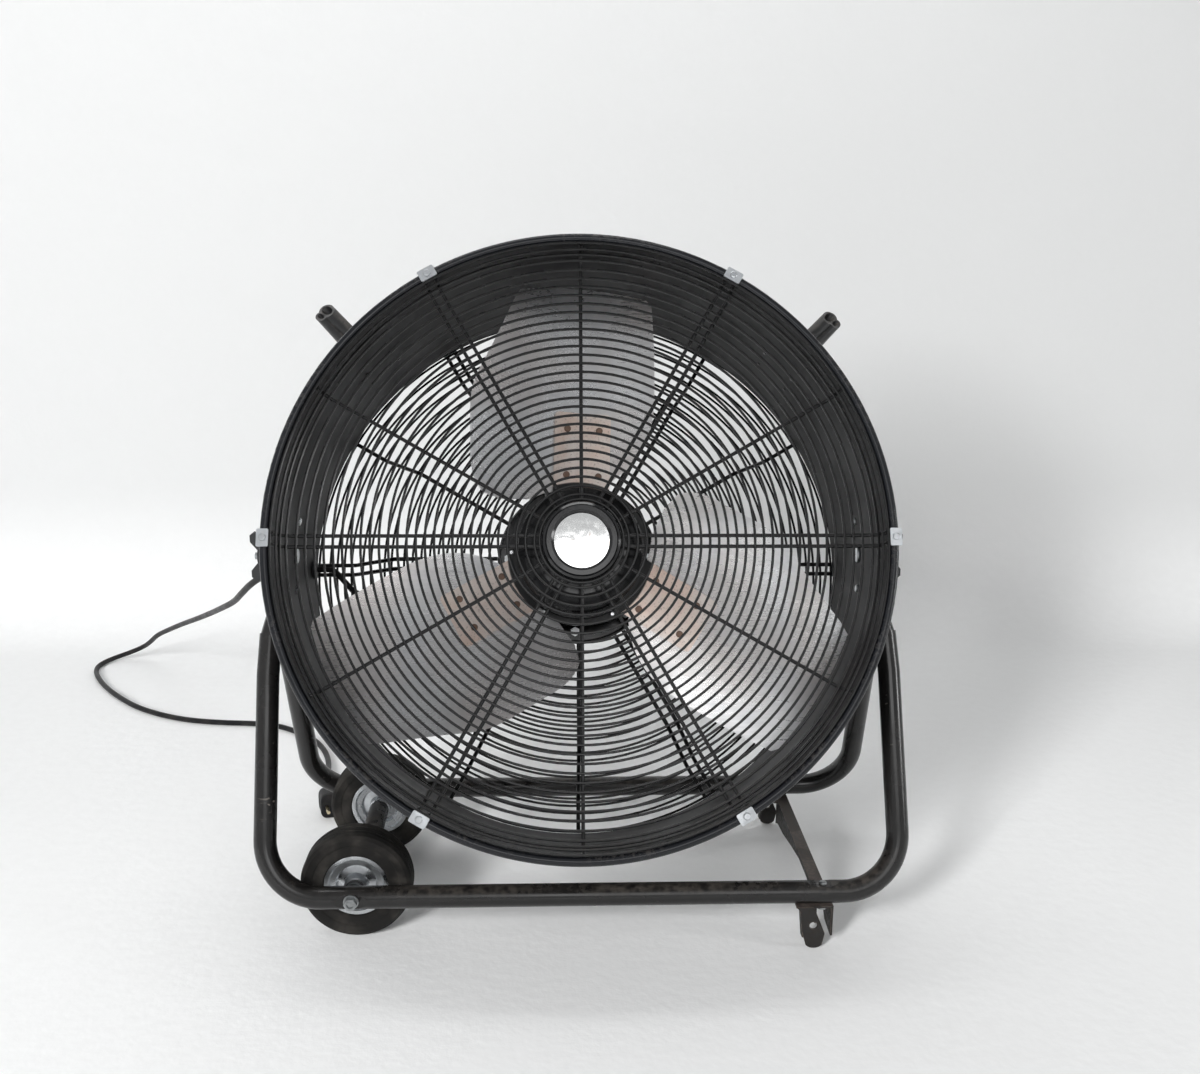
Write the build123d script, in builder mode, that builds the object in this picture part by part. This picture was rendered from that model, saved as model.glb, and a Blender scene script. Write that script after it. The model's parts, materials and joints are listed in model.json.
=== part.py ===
from build123d import *
from math import asin, cos, pi, radians, sin, tan
import os

os.makedirs("parts", exist_ok=True)

# Drum fan on a tilting tube stand.  Millimetres, +Z up, air leaves toward -Y.
# The origin lies on the floor directly under the tilt axis.

# ---- stand ----
TUBE_R = 12.7
BORE_R = 11.2
RAIL_Y = 142.0
RAIL_Z = 63.5
LEG_X = 359.0
BEND_R = 65.0
PIVOT_Z = 422.0
LEG_RISE = (RAIL_Y**2 + (PIVOT_Z - RAIL_Z) ** 2) ** 0.5
KINK_RISE = 249.0
CRUSH_RISE = 295.0
FRAME_SHIFT = {-1: 5.0, 1: 9.0}
TIP_X = {-1: 351.6, 1: 347.3}
TIP_THICK = 4.0
TIP_R = 18.5
TIP_LENGTH = 50.0
PLUG_LENGTH = 44.0
SCOOP_R = 60.0
SCOOP_DEPTH = 3.0

# ---- axle and wheels ----
AXLE_X = -256.0
AXLE_R = 4.0
AXLE_HALF = 158.0
WHEEL_R = 63.5
WHEEL_Y = 101.0
TYRE_SEAT_R = 36.5
BUSH_R = 9.0
BUSH_HALF = 24.0
SLEEVE_R = 12.5
NUT_FLATS = 13.0
NUT_HEIGHT = 6.5
WASHER_THICK = 1.5

# ---- foot channel ----
FOOT_X = 278.0
FOOT_HALF_WIDTH = 7.5
FOOT_SHEET = 2.5
FOOT_TOP = RAIL_Z - TUBE_R
FOOT_END_Y = 155.0
FOOT_SCREW_X = 274.5
FOOT_SCREW_R = 3.0
FOOT_HOLE = (263.0, 28.0)
FOOT_HOLE_R = 4.5
FOOT_FLARE_Y = 126.0
FOOT_TOE_X = 243.5
FOOT_CHEEK_X = 251.0
FOOT_TOE_LEFT = [(FOOT_TOE_X, FOOT_TOP), (247.5, 45), (250, 22), (255, 4)]
FOOT_TOE_RIGHT = [(FOOT_HOLE[0], FOOT_TOP), (276.5, 18), (273.5, 4)]

# ---- drum ----
TILT = radians(22.0)
DRUM_HALF = 140.0
WALL_R = 330.0
WALL = 1.5
BEAD_R = 5.0
BEAD_CENTRE_R = WALL_R + BEAD_R
BEAD_S = DRUM_HALF - BEAD_R
PATCH_IN = WALL_R + WALL + 0.2

# ---- grilles ----
WIRE_R = 1.4
WIRE_SIDES = 8
SPOKE_R = 2.0
ROD_R = 2.5
WELD_GAP = 0.02
FRONT_FLAT_S = 116.0
RING_FIRST_R = 51.0
RING_PITCH = 9.8
RING_COUNT = 27
SEAT_GAP = 0.2
PAIR_HALF = 5.95
CLIP_OUTSET = 0.6
CLIP_R = BEAD_CENTRE_R + CLIP_OUTSET
CLIP_RADIAL = 12.7
CLIP_SPAN = 19.0
CLIP_THICK = 2.5
CLIP_S = DRUM_HALF + SEAT_GAP
RIM_RING_R = WALL_R - WIRE_R - SEAT_GAP
RIM_RING_S = CLIP_S - WIRE_R

# ---- motor and rotor ----
MOUNT_FRONT_S = -72.0
MOUNT_REAR_S = -78.0
FLANGE_R = 97.0
FLANGE_FRONT_S = -64.5
MOUNT_BOLT_R = 85.0
CAN_R = 72.0
HOUSING_R = 66.0
HOUSING_REAR_S = -128.0
STEM_R = 3.5
SHAFT_R = 6.0
BLADE_ANGLES = [88.3 + 120.0 * k for k in range(3)]
CAMBER_R = 380.0
CAMBER_LEAN = radians(10.95)
BLADE_MID_S = 11.5
CAMBER_T = CAMBER_R * sin(CAMBER_LEAN)
CAMBER_S = BLADE_MID_S + CAMBER_R * cos(CAMBER_LEAN)
BLADE_HALF_SHEET = 1.0
BLADE_REACH = WALL_R - 10.0
ARM_OUT = CAMBER_R - 1.2
ARM_IN = CAMBER_R - 3.6
ARM_HALF = 33.0
ARM_END = 167.0
RIVET_RADII = (92.0, 147.0)
RIVET_T = 19.0
RIVET_R = 2.0
CLAMP_SCREW_R = 79.3

# ---- tilt pivot ----
PIN_R = 4.0
PIN_HOLE_R = 4.05
PATCH_THICK = 2.5
BOSS_X = 337.7
KNOB_IN_X = 356.0
KNOB_OUT_X = 381.0

# ---- supply cord ----
CORD_R = 4.25
GLAND = Vector(-345.0, 95.0, 380.0)
PLUG_CENTRE_Z = 18.0
CORD_POINTS = [
    (GLAND.X, GLAND.Y, GLAND.Z),
    (-378, 95, 380),
    (-413, 124, 356),
    (-444, 183, 323),
    (-474, 262, 290),
    (-512, 342, 258),
    (-562, 452, 216),
    (-614, 558, 175),
    (-668, 656, 136),
    (-718, 738, 100),
    (-762, 796, 70),
    (-786, 832, 46),
    (-808, 855, 28),
    (-838, 861, 14),
    (-866, 848, 7),
    (-881, 821, 4.4),
    (-877, 789, 4.4),
    (-859, 750, 4.4),
    (-830, 703, 4.4),
    (-789, 651, 4.4),
    (-741, 600, 4.4),
    (-686, 562, 4.4),
    (-632, 538, 4.4),
    (-576, 527, 4.4),
    (-522, 523, 4.4),
    (-482, 512, 4.4),
    (-446, 486, 4.4),
    (-411, 451, 4.4),
    (-389, 411, 4.4),
    (-376, 373, 4.6),
    (-369, 336, 7),
    (-364.5, 300, 11.8),
    (-360, 265, PLUG_CENTRE_Z),
    (-351.5, 238, PLUG_CENTRE_Z),
]

# ---- shared planes: drum stations run along the drum axis, positive toward the front ----
DRUM = Plane(origin=(0, 0, PIVOT_Z), x_dir=(1, 0, 0), z_dir=(0, -cos(TILT), sin(TILT)))
DRUM_AXIS = Axis(DRUM.origin, DRUM.z_dir)


def save(part, label):
    """Name a finished piece and write its file."""
    part.label = label
    export_step(part, f"parts/{label}.step")


def radial(angle):
    """Unit vector outward from the drum axis at an angle seen from the front."""
    return DRUM.x_dir * cos(radians(angle)) + DRUM.y_dir * sin(radians(angle))


def clockwise(angle):
    """Unit vector clockwise round the drum axis, seen from the front."""
    return DRUM.x_dir * sin(radians(angle)) - DRUM.y_dir * cos(radians(angle))


def polar_plane(angle, offset=0.0):
    """Plane along the drum axis: x is the radius at the angle, y is the station."""
    normal = clockwise(angle)
    return Plane(origin=DRUM.origin - normal * offset, x_dir=radial(angle), z_dir=normal)


PROFILE = polar_plane(0.0)


def turned(points, plane=PROFILE, axis=DRUM_AXIS):
    """Revolve a closed outline of (radius, station) points."""
    with BuildPart() as body:
        with BuildSketch(plane):
            with BuildLine():
                Polyline(*points, close=True)
            make_face()
        revolve(axis=axis)
    return body.part


def pipe(points, bends, outer, inner=0.0, plane=Plane.XY):
    """Sweep a round section along straight runs joined by tangent arcs."""
    with BuildPart() as body:
        with BuildLine(plane) as path:
            FilletPolyline(*points, radius=bends)
        with BuildSketch(Plane(origin=path.line @ 0, z_dir=path.line % 0)):
            Circle(outer)
            if inner:
                Circle(inner, mode=Mode.SUBTRACT)
        sweep()
    return body.part


def group(solids):
    """One node that holds several separate solids."""
    return Compound(children=[s for part in solids for s in part.solids()])


# ---- stand pieces ----


def frame_plane(side):
    """Plane of one U-frame, from its floor rail up to the tilt axis; side -1 is the front."""
    rise = Vector(0, -side * RAIL_Y, PIVOT_Z - RAIL_Z).normalized()
    across = Vector(1, 0, 0)
    return Plane(origin=(0, side * RAIL_Y, RAIL_Z), x_dir=across, z_dir=across.cross(rise))


def leg_x(side, end, rise):
    """Place of a leg's centre line at a height in its plane: upright, then leaning in to its tip."""
    lean = max(0.0, (rise - KINK_RISE) / (LEG_RISE - KINK_RISE))
    reach = LEG_X + (TIP_X[side] - LEG_X) * lean
    return end * reach + FRAME_SHIFT[side] * (1 - rise / LEG_RISE)


def u_frame(side):
    """Bent tube: floor rail, two legs, squashed and drilled tips."""
    plane = frame_plane(side)
    rises = (0.0, KINK_RISE, CRUSH_RISE)
    route = [(leg_x(side, -1, rise), rise) for rise in reversed(rises)]
    route += [(leg_x(side, 1, rise), rise) for rise in rises]
    with BuildPart() as frame:
        add(pipe(route, [BEND_R * 2, BEND_R, BEND_R, BEND_R * 2], TUBE_R, BORE_R, plane))
        for x in (AXLE_X, FOOT_SCREW_X):
            with Locations((x, side * RAIL_Y, RAIL_Z)):
                Cylinder(BORE_R + 0.2, PLUG_LENGTH, rotation=(0, 90, 0))
        for end in (-1, 1):
            add(squashed_tip(plane, side, end))
        scoop_outer = side * (RAIL_Y + TUBE_R - SCOOP_DEPTH)
        with Locations((AXLE_X, scoop_outer + side * SCOOP_R, RAIL_Z)):
            Cylinder(SCOOP_R, 4 * TUBE_R, mode=Mode.SUBTRACT)
        with Locations((AXLE_X, scoop_outer + side * TUBE_R, RAIL_Z)):
            Box(NUT_FLATS + 5, 2 * TUBE_R, 4 * TUBE_R, mode=Mode.SUBTRACT)
        with Locations((AXLE_X, side * RAIL_Y, RAIL_Z)):
            Cylinder(AXLE_R + 0.1, 4 * TUBE_R, rotation=(90, 0, 0), mode=Mode.SUBTRACT)
        scoop_top = RAIL_Z + TUBE_R - SCOOP_DEPTH
        with Locations((FOOT_SCREW_X, side * RAIL_Y, scoop_top + SCOOP_R)):
            Cylinder(SCOOP_R, 4 * TUBE_R, rotation=(90, 0, 0), mode=Mode.SUBTRACT)
        with Locations((FOOT_SCREW_X, side * RAIL_Y, scoop_top + TUBE_R)):
            Box(NUT_FLATS + 3, 4 * TUBE_R, 2 * TUBE_R, mode=Mode.SUBTRACT)
        with Locations((FOOT_SCREW_X, side * RAIL_Y, RAIL_Z)):
            Cylinder(FOOT_SCREW_R + 0.1, 4 * TUBE_R, mode=Mode.SUBTRACT)
    return frame.part


def squashed_tip(plane, side, end):
    """One leg tip: round tube pressed flat and drilled for the tilt bolt."""
    flat_rise = LEG_RISE - TIP_LENGTH
    stages = [
        (CRUSH_RISE - 4, TUBE_R - 0.4, TUBE_R - 0.4, leg_x(side, end, CRUSH_RISE - 4)),
        ((CRUSH_RISE + flat_rise) / 2, 16.2, 7.4, (leg_x(side, end, CRUSH_RISE) + end * TIP_X[side]) / 2),
        (flat_rise + 1, TIP_R - 0.1, TIP_THICK / 2 - 0.02, end * TIP_X[side]),
    ]
    with BuildPart() as tip:
        for rise, wide, thick, x in stages:
            centre = plane.from_local_coords((x, rise, 0))
            with BuildSketch(Plane(origin=centre, x_dir=plane.z_dir, z_dir=plane.y_dir)):
                Ellipse(wide, thick)
        loft()
        hinge = Plane(origin=(end * TIP_X[side], 0, PIVOT_Z), x_dir=plane.y_dir, z_dir=(1, 0, 0))
        with BuildSketch(hinge):
            Rectangle(TIP_LENGTH, 2 * TIP_R, align=(Align.MAX, Align.CENTER))
            Circle(TIP_R)
        extrude(amount=TIP_THICK / 2, both=True)
        with Locations(hinge):
            Cylinder(PIN_HOLE_R, 4 * TIP_THICK, mode=Mode.SUBTRACT)
    return tip.part


def foot_channel():
    """Folded sheet foot: top web, two arched flanges, and at each end a wider toe with a drilled plate."""
    inner_y = FOOT_END_Y - FOOT_SHEET
    edge = FOOT_X + FOOT_HALF_WIDTH
    with BuildPart() as foot:
        with BuildSketch(Plane.XY.offset(FOOT_TOP - FOOT_SHEET)):
            with Locations((FOOT_X, 0)):
                Rectangle(2 * FOOT_HALF_WIDTH, 2 * inner_y)
            for side in (-1, 1):
                with BuildLine():
                    Polyline(
                        (FOOT_X - FOOT_HALF_WIDTH, side * (FOOT_FLARE_Y - 12)),
                        (FOOT_TOE_X, side * FOOT_FLARE_Y),
                        (FOOT_TOE_X, side * inner_y),
                        (edge, side * inner_y),
                        (edge, side * (FOOT_FLARE_Y - 12)),
                        close=True,
                    )
                make_face()
        extrude(amount=FOOT_SHEET)
        for x, end_y in ((edge - 2 * FOOT_HALF_WIDTH, FOOT_FLARE_Y), (edge - FOOT_SHEET, inner_y)):
            with BuildSketch(Plane.YZ.offset(x)):
                with BuildLine():
                    Polyline(*foot_flange_outline(end_y), close=True)
                make_face()
            extrude(amount=FOOT_SHEET)
        for side in (-1, 1):
            with BuildSketch(Plane.YZ.offset(FOOT_CHEEK_X)):
                with BuildLine():
                    Polyline(
                        (side * FOOT_FLARE_Y, FOOT_TOP - 1),
                        (side * FOOT_FLARE_Y, FOOT_TOP - 8),
                        (side * (FOOT_END_Y - 12), 12),
                        (side * inner_y, 12),
                        (side * inner_y, FOOT_TOP - 1),
                        close=True,
                    )
                make_face()
            extrude(amount=FOOT_SHEET)
            with BuildSketch(Plane.XZ.offset(-side * inner_y)):
                with BuildLine():
                    Polyline(*FOOT_TOE_LEFT[::-1], *FOOT_TOE_RIGHT)
                    ThreePointArc(FOOT_TOE_RIGHT[-1], (264.5, 0), FOOT_TOE_LEFT[-1])
                make_face()
                with Locations(FOOT_HOLE):
                    Circle(FOOT_HOLE_R, mode=Mode.SUBTRACT)
            extrude(amount=-side * FOOT_SHEET)
        with Locations(*[(FOOT_SCREW_X, side * RAIL_Y, FOOT_TOP) for side in (-1, 1)]):
            Cylinder(FOOT_SCREW_R + 0.1, 4 * FOOT_SHEET, mode=Mode.SUBTRACT)
    return foot.part


def foot_flange_outline(end_y):
    """Side view of a flange: cut away to a shallow strip in the middle, deeper behind than in front."""
    top = FOOT_TOP - 0.5
    front = [(-end_y, top), (-end_y, 14), (-122, 17), (-110, 28), (-95, 38), (-75, 44), (-29, 44)]
    rear = [(19, 36), (73, 25), (110, 21), (122, 17), (end_y, 14), (end_y, top)]
    return front + rear


def hex_nut(plane, flats, height, hole):
    """Plain hexagon nut standing on a plane."""
    with BuildPart() as nut:
        with BuildSketch(plane):
            RegularPolygon(flats / 2, 6, major_radius=False)
            Circle(hole, mode=Mode.SUBTRACT)
        extrude(amount=height)
    return nut.part


def disc(plane, radius, height, hole=0.0):
    """Round plate or ring standing on a plane."""
    with BuildPart() as plate:
        with BuildSketch(plane):
            Circle(radius)
            if hole:
                Circle(hole, mode=Mode.SUBTRACT)
        extrude(amount=height)
    return plate.part


def screw(plane, head_r, head_h, shank_r, shank_l):
    """Round-headed screw: the head stands on the plane, the shank goes below it."""
    with BuildPart() as body:
        with BuildSketch(plane):
            Circle(head_r)
        extrude(amount=head_h)
        rim = body.edges().filter_by(GeomType.CIRCLE).sort_by(Axis(plane.origin, plane.z_dir))[-1]
        fillet(rim, head_h * 0.6)
        with BuildSketch(plane):
            Circle(shank_r)
        extrude(amount=-shank_l)
    return body.part


def foot_fasteners():
    """Screws down through both rails and the nuts under the channel."""
    top = RAIL_Z + TUBE_R - SCOOP_DEPTH + 0.1
    screws = []
    nuts = []
    for side in (-1, 1):
        seat = Plane(origin=(FOOT_SCREW_X, side * RAIL_Y, top))
        screws.append(screw(seat, 4.4, 2.8, FOOT_SCREW_R, top - FOOT_TOP + 9))
        under = Plane(origin=(FOOT_SCREW_X, side * RAIL_Y, FOOT_TOP - FOOT_SHEET - 5.1))
        nuts.append(hex_nut(under, 10.0, 5.0, FOOT_SCREW_R + 0.05))
    return group(screws), group(nuts)


def axle_plane(y, side=1):
    """Plane square to the axle at a distance from its middle, facing out to one side."""
    return Plane(origin=(AXLE_X, side * y, RAIL_Z), x_dir=(1, 0, 0), z_dir=(0, side, 0))


def axle_pieces():
    """Axle rod, spacer sleeve, and the washers and nuts outside the rails."""
    rod = disc(axle_plane(-AXLE_HALF), AXLE_R, 2 * AXLE_HALF)
    sleeve_half = WHEEL_Y - BUSH_HALF - 0.3
    sleeve = disc(axle_plane(-sleeve_half), SLEEVE_R, 2 * sleeve_half, AXLE_R + 0.1)
    seat = RAIL_Y + TUBE_R - SCOOP_DEPTH + 0.1
    washers = [disc(axle_plane(seat, s), 8.5, WASHER_THICK, AXLE_R + 0.1) for s in (-1, 1)]
    nut_y = seat + WASHER_THICK + 0.1
    nuts = [hex_nut(axle_plane(nut_y, s), NUT_FLATS, NUT_HEIGHT, AXLE_R + 0.05) for s in (-1, 1)]
    spacer_y = WHEEL_Y + BUSH_HALF + 0.3
    spacer = RAIL_Y - TUBE_R - spacer_y - 0.1
    washers += [disc(axle_plane(spacer_y, s), 9.5, spacer, AXLE_R + 0.1) for s in (-1, 1)]
    return rod, sleeve, group(washers), group(nuts)


def mirrored(half):
    """Closed outline from its half on the positive side."""
    return half + [(r, -w) for r, w in reversed(half)]


def wheel_turned(side, points):
    """Revolve a wheel outline of (radius, offset) points about the axle."""
    centre = Vector(AXLE_X, side * WHEEL_Y, RAIL_Z)
    plane = Plane(origin=centre, x_dir=(1, 0, 0), z_dir=(0, 0, -1))
    return turned(points, plane, Axis(centre, Vector(0, 1, 0)))


def wheel_pieces(side):
    """Rubber tyre, pressed steel rim and plastic bush of one wheel."""
    tread = [(63.5, 4.0), (62.2, 4.6), (62.2, 5.6), (63.5, 6.2), (63.5, 11.0), (62.2, 15.6), (58.5, 18.6)]
    side_wall = [(51.0, 17.4), (49.0, 16.4), (40.5, 17.2), (38.0, 17.2), (TYRE_SEAT_R, 15.6)]
    tyre = wheel_turned(side, mirrored(tread + side_wall))
    rim_out = [(BUSH_R + 0.1, 22.0), (13.0, 21.0), (14.0, 10.5), (22.0, 8.4), (24.0, 12.2), (30.0, 12.8)]
    rim_in = [(32.0, 15.2), (TYRE_SEAT_R - 0.2, 15.2), (TYRE_SEAT_R - 0.2, 0.3), (34.3, 0.3)]
    rim_web = [(34.3, 12.8), (33.2, 12.8), (31.2, 10.6), (25.3, 10.2), (23.2, 6.2), (11.4, 8.0)]
    rim = wheel_turned(side, mirrored(rim_out + rim_in + rim_web + [(11.4, 2.0)]))
    half = [(AXLE_R + 0.08, BUSH_HALF), (BUSH_R + 2.0, BUSH_HALF), (BUSH_R + 2.0, 22.2), (BUSH_R, 22.2)]
    bush = wheel_turned(side, mirrored(half))
    return tyre, rim, bush


# ---- drum pieces ----


def drum_shell():
    """Rolled cylinder with a bead at both rims, drilled for its fasteners."""
    with BuildPart() as shell:
        with BuildSketch(PROFILE):
            with Locations((WALL_R + WALL / 2, 0)):
                Rectangle(WALL, 2 * BEAD_S)
        revolve(axis=DRUM_AXIS)
        for s in (-BEAD_S, BEAD_S):
            with Locations(DRUM.offset(s)):
                Torus(BEAD_CENTRE_R, BEAD_R)
            with Locations(DRUM.offset(s)):
                with PolarLocations(CLIP_R, 6):
                    Cylinder(2.05, 4 * BEAD_R, mode=Mode.SUBTRACT)
        with Locations((0, 0, PIVOT_Z)):
            Cylinder(PIN_R + 0.1, 3 * WALL_R, rotation=(0, 90, 0), mode=Mode.SUBTRACT)
        with Locations((GLAND.X, GLAND.Y, GLAND.Z)):
            Cylinder(8.2, 60, rotation=(0, 90, 0), mode=Mode.SUBTRACT)
        for place in patch_screw_planes() + grip_rivet_planes():
            with Locations(place):
                Cylinder(2.1, 30, mode=Mode.SUBTRACT)
    return shell.part


def clip_set(front):
    """Six sheet clips that hold a grille on a rim, and their screws."""
    facing = 1 if front else -1
    clips = []
    screws = []
    for k in range(6):
        out = radial(60.0 * k)
        seat = DRUM.origin + out * CLIP_R + DRUM.z_dir * (facing * CLIP_S)
        plane = Plane(origin=seat, x_dir=out, z_dir=DRUM.z_dir * facing)
        with BuildPart() as clip:
            with BuildSketch(plane):
                RectangleRounded(CLIP_RADIAL, CLIP_SPAN, 1.5)
                Circle(2.1, mode=Mode.SUBTRACT)
            extrude(amount=CLIP_THICK)
        clips.append(clip.part)
        screws.append(screw(plane.offset(CLIP_THICK + 0.1), 4.0, 2.4, 2.0, CLIP_THICK + 9))
    return group(clips), group(screws)


def spoke_set(points, bends, radius, pair_half):
    """Grille spokes: a close pair every 60 degrees and a single one between the pairs."""
    spokes = []
    for k in range(6):
        for angle, offset in ((60 * k, -pair_half), (60 * k, pair_half), (60 * k + 30, 0.0)):
            spokes.append(pipe(points, bends, radius, plane=polar_plane(angle, offset)))
    return spokes


def wire_ring(radius, station):
    """One ring of guard wire, its section an eight-sided bar with a flat toward the spokes."""
    half_side = 180 / WIRE_SIDES
    with BuildPart() as ring:
        with BuildSketch(PROFILE):
            with Locations((radius, station)):
                RegularPolygon(WIRE_R, WIRE_SIDES, major_radius=False, rotation=half_side)
        revolve(axis=DRUM_AXIS, clean=False)
    return ring.part


def beside(start, end, share, gap):
    """Point part way along a run of (radius, station), moved square to it by a gap."""
    run = Vector(*end) - Vector(*start)
    square = Vector(-run.Y, run.X).normalized()
    point = Vector(*start) + run * share + square * gap
    return point.X, point.Y


def front_grille():
    """Flat guard of concentric wires on spokes, with a short skirt at the rim."""
    gap = SPOKE_R + WIRE_R + WELD_GAP
    flat = FRONT_FLAT_S - gap
    spoke_end = RIM_RING_S - WIRE_R - WELD_GAP
    shoulder = [(15.4, 0.0), (6.4, 4.6), (1.8, 13.0)]
    route = [(43.8, flat)] + [(RIM_RING_R - back, flat + up) for back, up in shoulder]
    route.append((RIM_RING_R - 0.9, spoke_end))
    rings = [wire_ring(45.6, FRONT_FLAT_S)]
    rings += [wire_ring(RING_FIRST_R + RING_PITCH * i, FRONT_FLAT_S) for i in range(RING_COUNT)]
    for run in (1, 2, 3):
        rings.append(wire_ring(*beside(route[run], route[run + 1], 0.5, gap)))
    rings.append(wire_ring(RIM_RING_R, RIM_RING_S))
    return group(spoke_set(route, 3.0, SPOKE_R, PAIR_HALF) + rings)


def rear_grille():
    """Deep guard of heavy rods round the motor plate, with wire rings behind the rods."""
    gap = ROD_R + WIRE_R + WELD_GAP
    plate_edge = FLANGE_R + 2
    inner, outer = (225, -75), (283, -136.5)
    route = [(plate_edge + WELD_GAP, inner[1]), inner, outer, (RIM_RING_R - WIRE_R - WELD_GAP, outer[1])]
    with BuildPart() as plate:
        with BuildSketch(DRUM.offset(MOUNT_REAR_S)):
            Circle(plate_edge)
            Circle(60, mode=Mode.SUBTRACT)
            with PolarLocations(MOUNT_BOLT_R, 8, start_angle=42):
                Circle(3.1, mode=Mode.SUBTRACT)
        extrude(amount=MOUNT_FRONT_S - MOUNT_REAR_S)
    rings = [wire_ring(110 + 10.4 * i, inner[1] - gap) for i in range(11)]
    for share in (0.14, 0.31, 0.66, 0.86):
        rings.append(wire_ring(*beside(inner, outer, share, -gap)))
    rings += [wire_ring(r, outer[1] - gap) for r in (288, 297, 306, 315)]
    rings.append(wire_ring(RIM_RING_R, -RIM_RING_S))
    return group(spoke_set(route, 14.0, ROD_R, 6.0) + rings + [plate.part])


def patch_screw_planes():
    """Seats of the screws beside each tilt pivot, facing inward from the drum wall."""
    places = []
    for angle in (-7.0, 7.0, 173.0, 187.0):
        out = radial(angle)
        places.append(Plane(origin=DRUM.origin + out * (WALL_R - 0.3), z_dir=out * -1))
    return places


def pivot_plates():
    """Curved doubler and turned boss on each side of the drum."""
    plates = []
    for end in (0.0, 180.0):
        with BuildPart() as plate:
            with BuildSketch(polar_plane(end - 9.5)):
                with Locations((PATCH_IN + PATCH_THICK / 2, 0)):
                    Rectangle(PATCH_THICK, 44)
            revolve(axis=DRUM_AXIS, revolution_arc=19.0)
            sign = 1 if end == 0.0 else -1
            face = Plane(origin=(sign * PATCH_IN, 0, PIVOT_Z), z_dir=(sign, 0, 0))
            with BuildSketch(face):
                Circle(16)
            extrude(amount=BOSS_X - PATCH_IN)
            with Locations(face):
                Cylinder(PIN_R + 0.1, 40, mode=Mode.SUBTRACT)
            for place in patch_screw_planes():
                with Locations(place):
                    Cylinder(2.1, 30, mode=Mode.SUBTRACT)
        plates.append(plate.part - Cylinder(PATCH_IN, 400).moved(DRUM.location))
    return group(plates)


def side_plane(end, x):
    """Plane square to the tilt axis, facing outward on one side."""
    return Plane(origin=(end * x, 0, PIVOT_Z), z_dir=(end, 0, 0))


def pivot_hardware():
    """Bolts, plastic spacers and washers on the tilt axis."""
    bolts = []
    spacers = []
    washers = []
    for end in (-1, 1):
        bolts.append(screw(side_plane(-end, -(WALL_R - 0.4)), 9.0, 2.8, PIN_R, 376.0 - WALL_R + 0.4))
        spacer_length = TIP_X[1] - TIP_THICK / 2 - 0.1 - BOSS_X - 0.1
        spacers.append(disc(side_plane(end, BOSS_X + 0.1), 14.0, spacer_length, PIN_R + 0.1))
        washer_x = TIP_X[-1] + TIP_THICK / 2 + 0.1
        washers.append(disc(side_plane(end, washer_x), 13.0, KNOB_IN_X - 0.1 - washer_x, PIN_R + 0.1))
    return group(bolts), group(spacers), group(washers)


def tilt_knob(end):
    """Wing nut on the end of a tilt bolt."""
    with BuildPart() as knob:
        with BuildSketch(side_plane(end, KNOB_IN_X)):
            Circle(10)
        extrude(amount=16)
        wing_plane = Plane(origin=(0, 0, PIVOT_Z), x_dir=(end, 0, 0), z_dir=(0, 1, 0))
        with BuildSketch(wing_plane):
            for up in (-1, 1):
                with BuildLine():
                    Polyline(
                        (KNOB_IN_X + 3, up * 5),
                        (KNOB_IN_X + 15, up * 5),
                        (KNOB_OUT_X, up * 17),
                        (KNOB_OUT_X, up * 25),
                        (KNOB_OUT_X - 5, up * 29),
                        (KNOB_OUT_X - 13, up * 24),
                        close=True,
                    )
                make_face()
        extrude(amount=2.6, both=True)
        with Locations(side_plane(end, KNOB_IN_X)):
            Cylinder(PIN_HOLE_R, 80, mode=Mode.SUBTRACT)
    return knob.part


# ---- grips ----
GRIP_ANGLES = {"grip_left": 135.5, "grip_right": 43.5}
GRIP_SMALL_LOBE = {135.5: -1, 43.5: 1}
GRIP_S = -10.0
GRIP_CUT_R = 427.0
GRIP_CUT_LEAN = radians(43.0)
GRIP_STATIONS = (WALL_R + 2.5, WALL_R + 22.0, WALL_R + 65.0, WALL_R + 125.0)
BIG_LOBE = [(1.0, 15.0, 17.5), (0.5, 11.2, 15.5), (0.0, 9.6, 14.0), (-1.7, 7.3, 12.5)]
SMALL_LOBE = [(12.0, 13.0, 15.0), (11.0, 10.6, 12.4), (9.6, 7.6, 10.4), (8.5, 4.9, 8.8)]
LOBE_BORES = [(-1.6, 5.7, 10.9), (8.5, 3.4, 7.2)]


def grip_plane(angle, radius):
    """Plane square to a grip at a distance from the drum axis: x is tangential, y is the station."""
    out = radial(angle)
    return Plane(origin=DRUM.origin + out * radius + DRUM.z_dir * GRIP_S, x_dir=clockwise(angle), z_dir=out)


def grip_rivet_planes():
    """Seats of the four rivets of each grip, facing outward from the saddle."""
    places = []
    for angle in GRIP_ANGLES.values():
        for turn in (-3.9, 3.9):
            for s in (GRIP_S - 22, GRIP_S + 22):
                out = radial(angle + turn)
                seat = DRUM.origin + out * (PATCH_IN + PATCH_THICK + 0.1) + DRUM.z_dir * s
                places.append(Plane(origin=seat, z_dir=out))
    return places


def lobe(angle, sections):
    """One tapering lobe of a grip, lofted through ellipses (offset, half width, half depth)."""
    with BuildPart() as body:
        for radius, (offset, wide, deep) in zip(GRIP_STATIONS, sections):
            with BuildSketch(grip_plane(angle, radius)):
                with Locations((GRIP_SMALL_LOBE[angle] * offset, 0)):
                    Ellipse(wide, deep)
        loft()
    return body.part


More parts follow.
